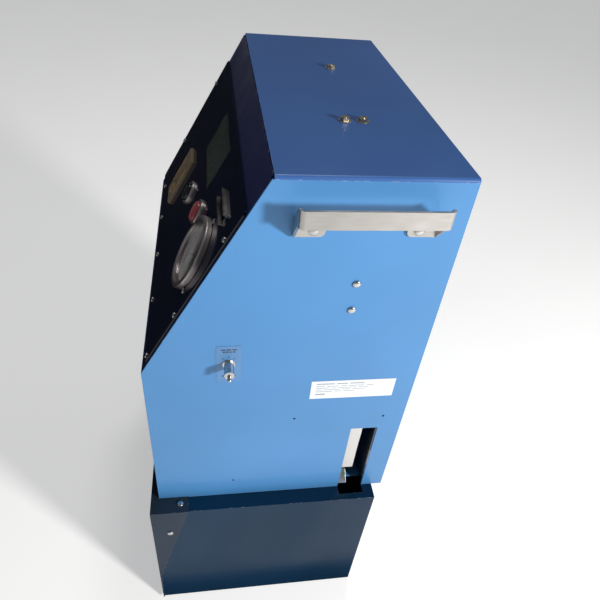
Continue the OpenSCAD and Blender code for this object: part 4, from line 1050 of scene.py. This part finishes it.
def add_display():
    middle, width, height, top = slope_place("display_window")
    low = slope_box("display_window")[0].z
    mesh = bmesh.new()
    prism(mesh, rounded(width, height, 2.5), low, top - 0.2, middle, 0.4)
    finish("display_pane", mesh, "smoked", "display_window", 35)

    back, front = slope_box("display_module")
    deep = low - 0.9
    mesh = bmesh.new()
    block(mesh, (back.x, back.y, back.z), (front.x, front.y, -2.1), SLOPE, 0.8)
    outer = rounded(width - 2, height - 2, 2)
    frame_plate(mesh, outer, rounded(width - 16, height - 14, 1), -2.2, deep, middle)
    for x in (-1, 1):
        for y in (-1, 1):
            lathe(mesh, [(0, back.z - 2), (2.4, back.z - 2), (2.4, back.z)],
                  at(middle, x * width * 0.46, y * height * 0.4), 6)
    finish("display_carrier", mesh, "black_plastic", "display_module", 35, slot="board")
    mesh = bmesh.new()
    prism(mesh, rounded(width - 17, height - 15, 0.8), -2.0, deep - 0.7, middle, 0.2, 1)
    add_detail("display_lcd", mesh, "lcd", "display_module", 35, slot="board")
    mesh = bmesh.new()
    for y in CELL_ROWS:
        for column in range(CELLS):
            x = (column - (CELLS - 1) / 2) * CELL_PITCH
            seven_segments(mesh, at(middle, x, y, deep - 0.68), *CELL_SIZE)
    add_detail("display_segments", mesh, "lcd_segment", "display_module", 35, slot="board")


def seven_segments(mesh, place, width, height):
    """The unlit bars of one numeral, as thin raised strips."""
    reach, thin, half = width / 2 - BAR_GAP, BAR_THICK / 2, height / 2
    for y in (-half, 0, half):
        block(mesh, (-reach, y - thin, 0), (reach, y + thin, BAR_RISE), place)
    for x in (-width / 2, width / 2):
        for y in (-half, 0):
            block(mesh, (x - thin, y + thin + BAR_GAP, 0),
                  (x + thin, y + half - thin - BAR_GAP, BAR_RISE), place)


def add_note_inlet():
    """A bezel that falls in steps to its slot, with arrows that point to it and a light bar each side."""
    middle, width, height, top = slope_place("note_bezel")
    outer = rounded(width, height, 4)
    mesh = bmesh.new()
    loft(mesh, [(outer, OVERLAY_OUT), (outer, OVERLAY_OUT + 2.4),
                (rounded(width - 3, height - 3, 3), top - 0.2),
                (rounded(width - 14, height - 30, 3), top - 0.6),
                (rounded(width - 20, height - 44, 3), OVERLAY_OUT - 1.2)], middle)
    neck = rounded(width - 10.4, height - 10.4, 3)
    prism(mesh, neck, FASCIA_IN, OVERLAY_OUT + 0.1, middle)
    bezel = finish("note_mouth", mesh, "beige_plastic", "note_bezel", 30)
    tool = bmesh.new()
    block(tool, (-NOTE_SLOT / 2, -3, -10), (NOTE_SLOT / 2, 0, 20), middle)
    carve(bezel, tool)
    mesh = bmesh.new()
    for k in range(ARROWS):
        tip = height / 2 - 8.5 - k * ARROW_PITCH
        for side in (-1, 1):
            stroke = at(middle, side * 2.6, -tip, top - 0.55, side * -38)
            block(mesh, (-3.2, -0.55, 0), (3.2, 0.55, 0.5), stroke, 0.15, 1)
    for side in (-1, 1):
        x = side * (width / 2 - 4.6)
        block(mesh, (x - 1.1, -height * 0.28, top - 0.5), (x + 1.1, height * 0.28, top - 0.02), middle, 0.3)
    add_detail("note_guides", mesh, "amber_guide", "note_bezel", 35)


def loft(mesh, levels, place):
    """Joins outlines of the same number of points at the given heights, and closes the last."""
    rings = [[mesh.verts.new(place @ Vector((x, y, z))) for x, y in outline] for outline, z in levels]
    for low, high in zip(rings, rings[1:]):
        for k in range(len(low)):
            after = (k + 1) % len(low)
            mesh.faces.new((low[k], low[after], high[after], high[k]))
    mesh.faces.new(rings[-1])


def add_coin_inlet():
    """A plate with two raised rails and a slot between them."""
    middle, width, height, top = slope_place("coin_bezel")
    mesh = bmesh.new()
    prism(mesh, rounded(width, height, 3), OVERLAY_OUT, OVERLAY_OUT + 1.5, middle, 0.4)
    for side in (-1, 1):
        rail = rounded(width - 9, 2.8, 1.3)
        prism(mesh, rail, OVERLAY_OUT, top - 0.1, at(middle, 0, side * RAIL_OUT), 0.5)
    reach = width / 2 - 8.2
    block(mesh, (-reach, -3.9, FASCIA_IN), (reach, 3.9, OVERLAY_OUT + 1.3), middle)
    plate = finish("coin_plate", mesh, "stainless", "coin_bezel", 30)
    tool = bmesh.new()
    prism(tool, rounded(*COIN_SLOT, 1.5), -20, 30, middle)
    carve(plate, tool)


def add_cap(node, material, name):
    """A dished push button with its stem."""
    centre, width, height, crown = slope_place(node)
    low, radius = slope_box(node)[0].z, width / 2
    lip = quarter(radius - 0.9, crown - 1.0, 0.85, 0.95)
    dish = quarter(0, crown - 1.5, radius * 0.80, 0.5)[1:-1]
    cap = [(0, low), (5.9, low), (5.9, -2), (radius - 0.05, -2), *lip, (radius * 0.86, crown - 0.2),
           (radius * 0.80, crown - 1.2), *dish, (0, crown - 1.0)]
    turned(name, cap, centre, 72, material, node)


def add_buttons():
    add_cap("start_button", "button_black", "start_cap")
    add_cap("stop_button", "button_red", "stop_cap")
    top = slope_box("button_bezels")[1].z
    mesh = bmesh.new()
    for node in ("start_button", "stop_button"):
        centre, width, height, crown = slope_place(node)
        radius = width / 2
        inside, outside = radius + 0.3, radius + 4
        lathe(mesh, [(inside, -2), (radius + 1, -2), (radius + 1, OVERLAY_OUT), (outside, OVERLAY_OUT),
                     *quarter(outside - 1.9, top - 1.9, 1.8, 1.8), (inside + 0.5, top - 0.2),
                     (inside, top - 0.7), (inside, -2)], centre, 72)
    finish("button_rims", mesh, "dial_metal", "button_bezels", 35)


# ---- Handles ----

FOOT_RAISE = 4.5
FOOT_TOP = 24.0
FOOT_LENGTH = 34.0
FOOT_CORNER = 6.0
GRIP_HEIGHT = 20.0
STRIP_BEND = 7.0
STRIP_ROUND = 0.55


def add_handles():
    """Bent flat bars: two feet on the panel, legs that rise and a long grip, swept as one strip."""
    for side, node in ((1, "right_handle"), (-1, "left_handle")):
        low, high = box(node)
        foot_low, foot_high, grip_low = low.z + FOOT_RAISE, low.z + FOOT_TOP, high.z - GRIP_HEIGHT
        out = abs(high.x if side > 0 else low.x) - SIDE_X
        mesh = bmesh.new()
        rows = []
        for outer, inner, share, cut in handle_path(low.y, high.y, out, HANDLE_STRIP, STRIP_BEND):
            z_low = foot_low + (grip_low - foot_low) * share + cut
            z_high = foot_high + (high.z - foot_high) * share - cut
            rows.append([mesh.verts.new((side * (SIDE_X + x), y, z)) for (x, y), z in
                         ((outer, z_low), (outer, z_high), (inner, z_high), (inner, z_low))])
        sweep(mesh, rows)
        sharp = [e for e in mesh.edges if e.calc_face_angle(0) > radians(50)]
        bmesh.ops.bevel(mesh, geom=sharp, offset=STRIP_ROUND, segments=3, profile=0.5, affect="EDGES")
        finish(node + "_bar", mesh, "stainless", node, 40)


def handle_path(front, rear, out, thick, bend, steps=5):
    """Outer and inner points in plan, how far each has risen to the grip, and its corner's cut."""
    half = []
    for k in range(5):
        angle = pi / 2 * k / 4
        along = FOOT_LENGTH - FOOT_CORNER * (1 - cos(angle))
        half.append(((0.02, along), (thick, along), 0.0, FOOT_CORNER * (1 - sin(angle))))
    half.append(((0.02, 0.6), (thick, thick), 0.0, 0.0))
    half.append(((thick, 0), (thick * 1.05, thick), 0.0, 0.0))
    half.append(((out - bend, 0), (out - bend, thick), 1.0, 0.0))
    for k in range(1, steps + 1):
        across, along = sin(pi / 2 * k / steps), cos(pi / 2 * k / steps)
        far = (out - bend + bend * across, bend - bend * along)
        close = (out - bend + (bend - thick) * across, bend - (bend - thick) * along)
        half.append((far, close, 1.0, 0.0))
    first = [((x1, front + y1), (x2, front + y2), *rest) for (x1, y1), (x2, y2), *rest in half]
    last = [((x1, rear - y1), (x2, rear - y2), *rest) for (x1, y1), (x2, y2), *rest in reversed(half)]
    return first + last


# ---- Ticket outlet and roll ----


WEB_STEPS = 60
WEB_HALF = 0.09
WEB_WAVE = 0.10
ROLL_CORE = 12.6
CORE_WALL = 1.6
WINDINGS = 26
WINDING_IN = 0.32
WINDING_OUT = 0.05


def add_ticket():
    """The printed strip, hanging with a faint wave."""
    low, high = box("ticket_strip")
    mid = (low.x + high.x) / 2
    mesh = bmesh.new()
    rows = []
    for k in range(WEB_STEPS + 1):
        z = low.z + (high.z - low.z) * k / WEB_STEPS
        x = mid + WEB_WAVE * sin(k * 0.55)
        near, far = x - WEB_HALF, x + WEB_HALF
        rows.append([mesh.verts.new((*corner, z)) for corner in
                     ((near, low.y), (far, low.y), (far, high.y), (near, high.y))])
    sweep(mesh, rows)
    finish("ticket_web", mesh, "paper", "ticket_strip", 40)


def add_roll():
    """Paper wound on a core, whose ends show the windings."""
    low, high = box("paper_roll")
    centre = joint_point("roll_spin")
    axis = place_along(Vector((centre.x, low.y, centre.z)), (0, 1, 0))
    radius, width, start = (high.x - low.x) / 2, high.y - low.y, ROLL_CORE + CORE_WALL
    ends = [(start + (radius - start) * k / WINDINGS, WINDING_OUT if k % 2 else WINDING_IN)
            for k in range(WINDINGS + 1)]
    profile = [(ROLL_CORE, 0.3), (ROLL_CORE, width - 0.3)]
    profile += [(r, width - inset) for r, inset in ends] + ends[::-1]
    turned("wound_paper", profile + profile[:1], axis, 96, "paper", "paper_roll", 20)


# ---- Rear: door louvres and lock ----

LOUVRES = 8
LOUVRE_PITCH = 14.0
LOUVRE_START = 65.2
LOUVRE_OFFSET = 90.0
HOOD_L = 94.0
HOOD_OUT = 5.0
HOOD_REACH = 9.0
HOOD_THICK = 0.9
HOOD_STEPS = 8
BARREL_R = 6.9
CAM_THICK = 2.96
KEY_SLOT = (0.7, 1.9)
REAR_Y = box("rear_frame")[1].y


def add_louvres():
    """A hood over each slot of the door, curved out and down."""
    bottom = box("rear_door")[0].z + LOUVRE_START
    arc = [pi / 2 * k / HOOD_STEPS for k in range(HOOD_STEPS + 1)]
    mesh = bmesh.new()
    for row in range(LOUVRES):
        foot = bottom + row * LOUVRE_PITCH + HOOD_REACH * 0.1 - HOOD_THICK
        line = [(HOOD_OUT * sin(a), foot + HOOD_REACH * 0.75 * cos(a)) for a in arc]
        for side in (-1, 1):
            for first, second in zip(line, line[1:]):
                hood_segment(mesh, side * LOUVRE_OFFSET, first, second)
    add_detail("louvre_hoods", mesh, "blue_paint", "rear_door", 40)


def hood_segment(mesh, middle, first, second):
    """A thin piece of hood between two lines along X, narrower as it stands out."""
    corners = []
    for out, z in (first, second):
        half = HOOD_L / 2 - out * 0.9
        for dz in (0, -HOOD_THICK):
            for side in (-1, 1):
                corners.append(mesh.verts.new((middle + side * half, REAR_Y + out, z + dz)))
    a, b, c, d, e, f, g, h = corners
    for quad in ((a, b, f, e), (c, d, h, g), (a, c, g, e), (b, d, h, f), (a, b, d, c), (e, f, h, g)):
        mesh.faces.new(quad)


def add_lock():
    """A knob with a grip and a key slot, its barrel through the door, and the cam on its end."""
    low, high = box("door_lock")
    centre = joint_point("door_lock_turn")
    out = place_along(Vector((centre.x, REAR_Y, centre.z)), (0, 1, 0))
    knob_r, top, back = (high.x - low.x) / 2, high.y - REAR_Y, low.y - REAR_Y
    mesh = bmesh.new()
    lathe(mesh, [(0, back + 0.5), (BARREL_R, back + 0.5), (BARREL_R, 0.4), (knob_r, 0.4), (knob_r, 3.2),
                 (knob_r - 1.2, 4.6), (knob_r - 3, 5.4), (0, 5.6)], out, 64)
    prism(mesh, rounded(2 * knob_r - 4.2, 5.8, 2.8), 4.5, top - 0.1, out, 0.6, 3)
    cam = back + 0.02
    arm = [(-6, -6), (6, -6), (6, 34), (3, 37.9), (-3, 37.9), (-6, 34)]
    prism(mesh, arm, cam, cam + CAM_THICK, out, 0.4)
    lathe(mesh, [(0, cam), (4.5, cam), (4.5, cam + 0.5)], out, 6)
    lock = finish("lock_knob", mesh, "plated", "door_lock", 30)
    wide, tall = KEY_SLOT
    key = bmesh.new()
    block(key, (-wide, -tall, top - 3), (wide, tall, top + 2), out)
    carve(lock, key)


# ---- Floor ----


def add_floor():
    bpy.ops.mesh.primitive_plane_add(size=FLOOR_SIZE)
    floor = bpy.context.object
    floor.name = "floor"
    material, tree, shader = new_material("floor_paper")
    cloud = mapped_noise(tree, 2.0, 3)
    tree.links.new(ramp(tree, cloud, [(0.3, (0.84, 0.84, 0.84)), (0.7, (0.88, 0.88, 0.88))]),
              shader.inputs["Base Color"])
    put(shader, "Roughness", 0.9)
    put(shader, "Emission Color", (1, 1, 1, 1))
    put(shader, "Emission Strength", FLOOR_GLOW)
    floor.data.materials.append(material)


def add_dark_card():
    """A dark card flat on the floor in front, seen only in reflections, that keeps the glossy front dark."""
    card = add_object("dark_card", bpy.data.meshes.new("dark_card"))
    far, near = CARD_FAR, CARD_NEAR
    corners = [(-far, -far), (far * 0.05, -far), (near, -near), (near, near), (-far, far)]
    card.data.from_pydata([(x, y, 1 * MM) for x, y in corners], [], [tuple(range(len(corners)))])
    material, tree, shader = new_material("black_card")
    put(shader, "Base Color", (0.01, 0.01, 0.012, 1))
    put(shader, "Roughness", 1)
    card.data.materials.append(material)
    card.visible_camera = card.visible_diffuse = card.visible_shadow = card.visible_transmission = False


add_screws()
add_toggle_nut()
add_toggle_bush()
add_toggle_lever()
add_toggle_film()
add_label()
add_dial_case()
add_dial_scale()
add_dial_pane()
add_needle()
add_display()
add_note_inlet()
add_coin_inlet()
add_buttons()
add_handles()
add_ticket()
add_roll()
add_louvres()
add_lock()
add_floor()
add_dark_card()
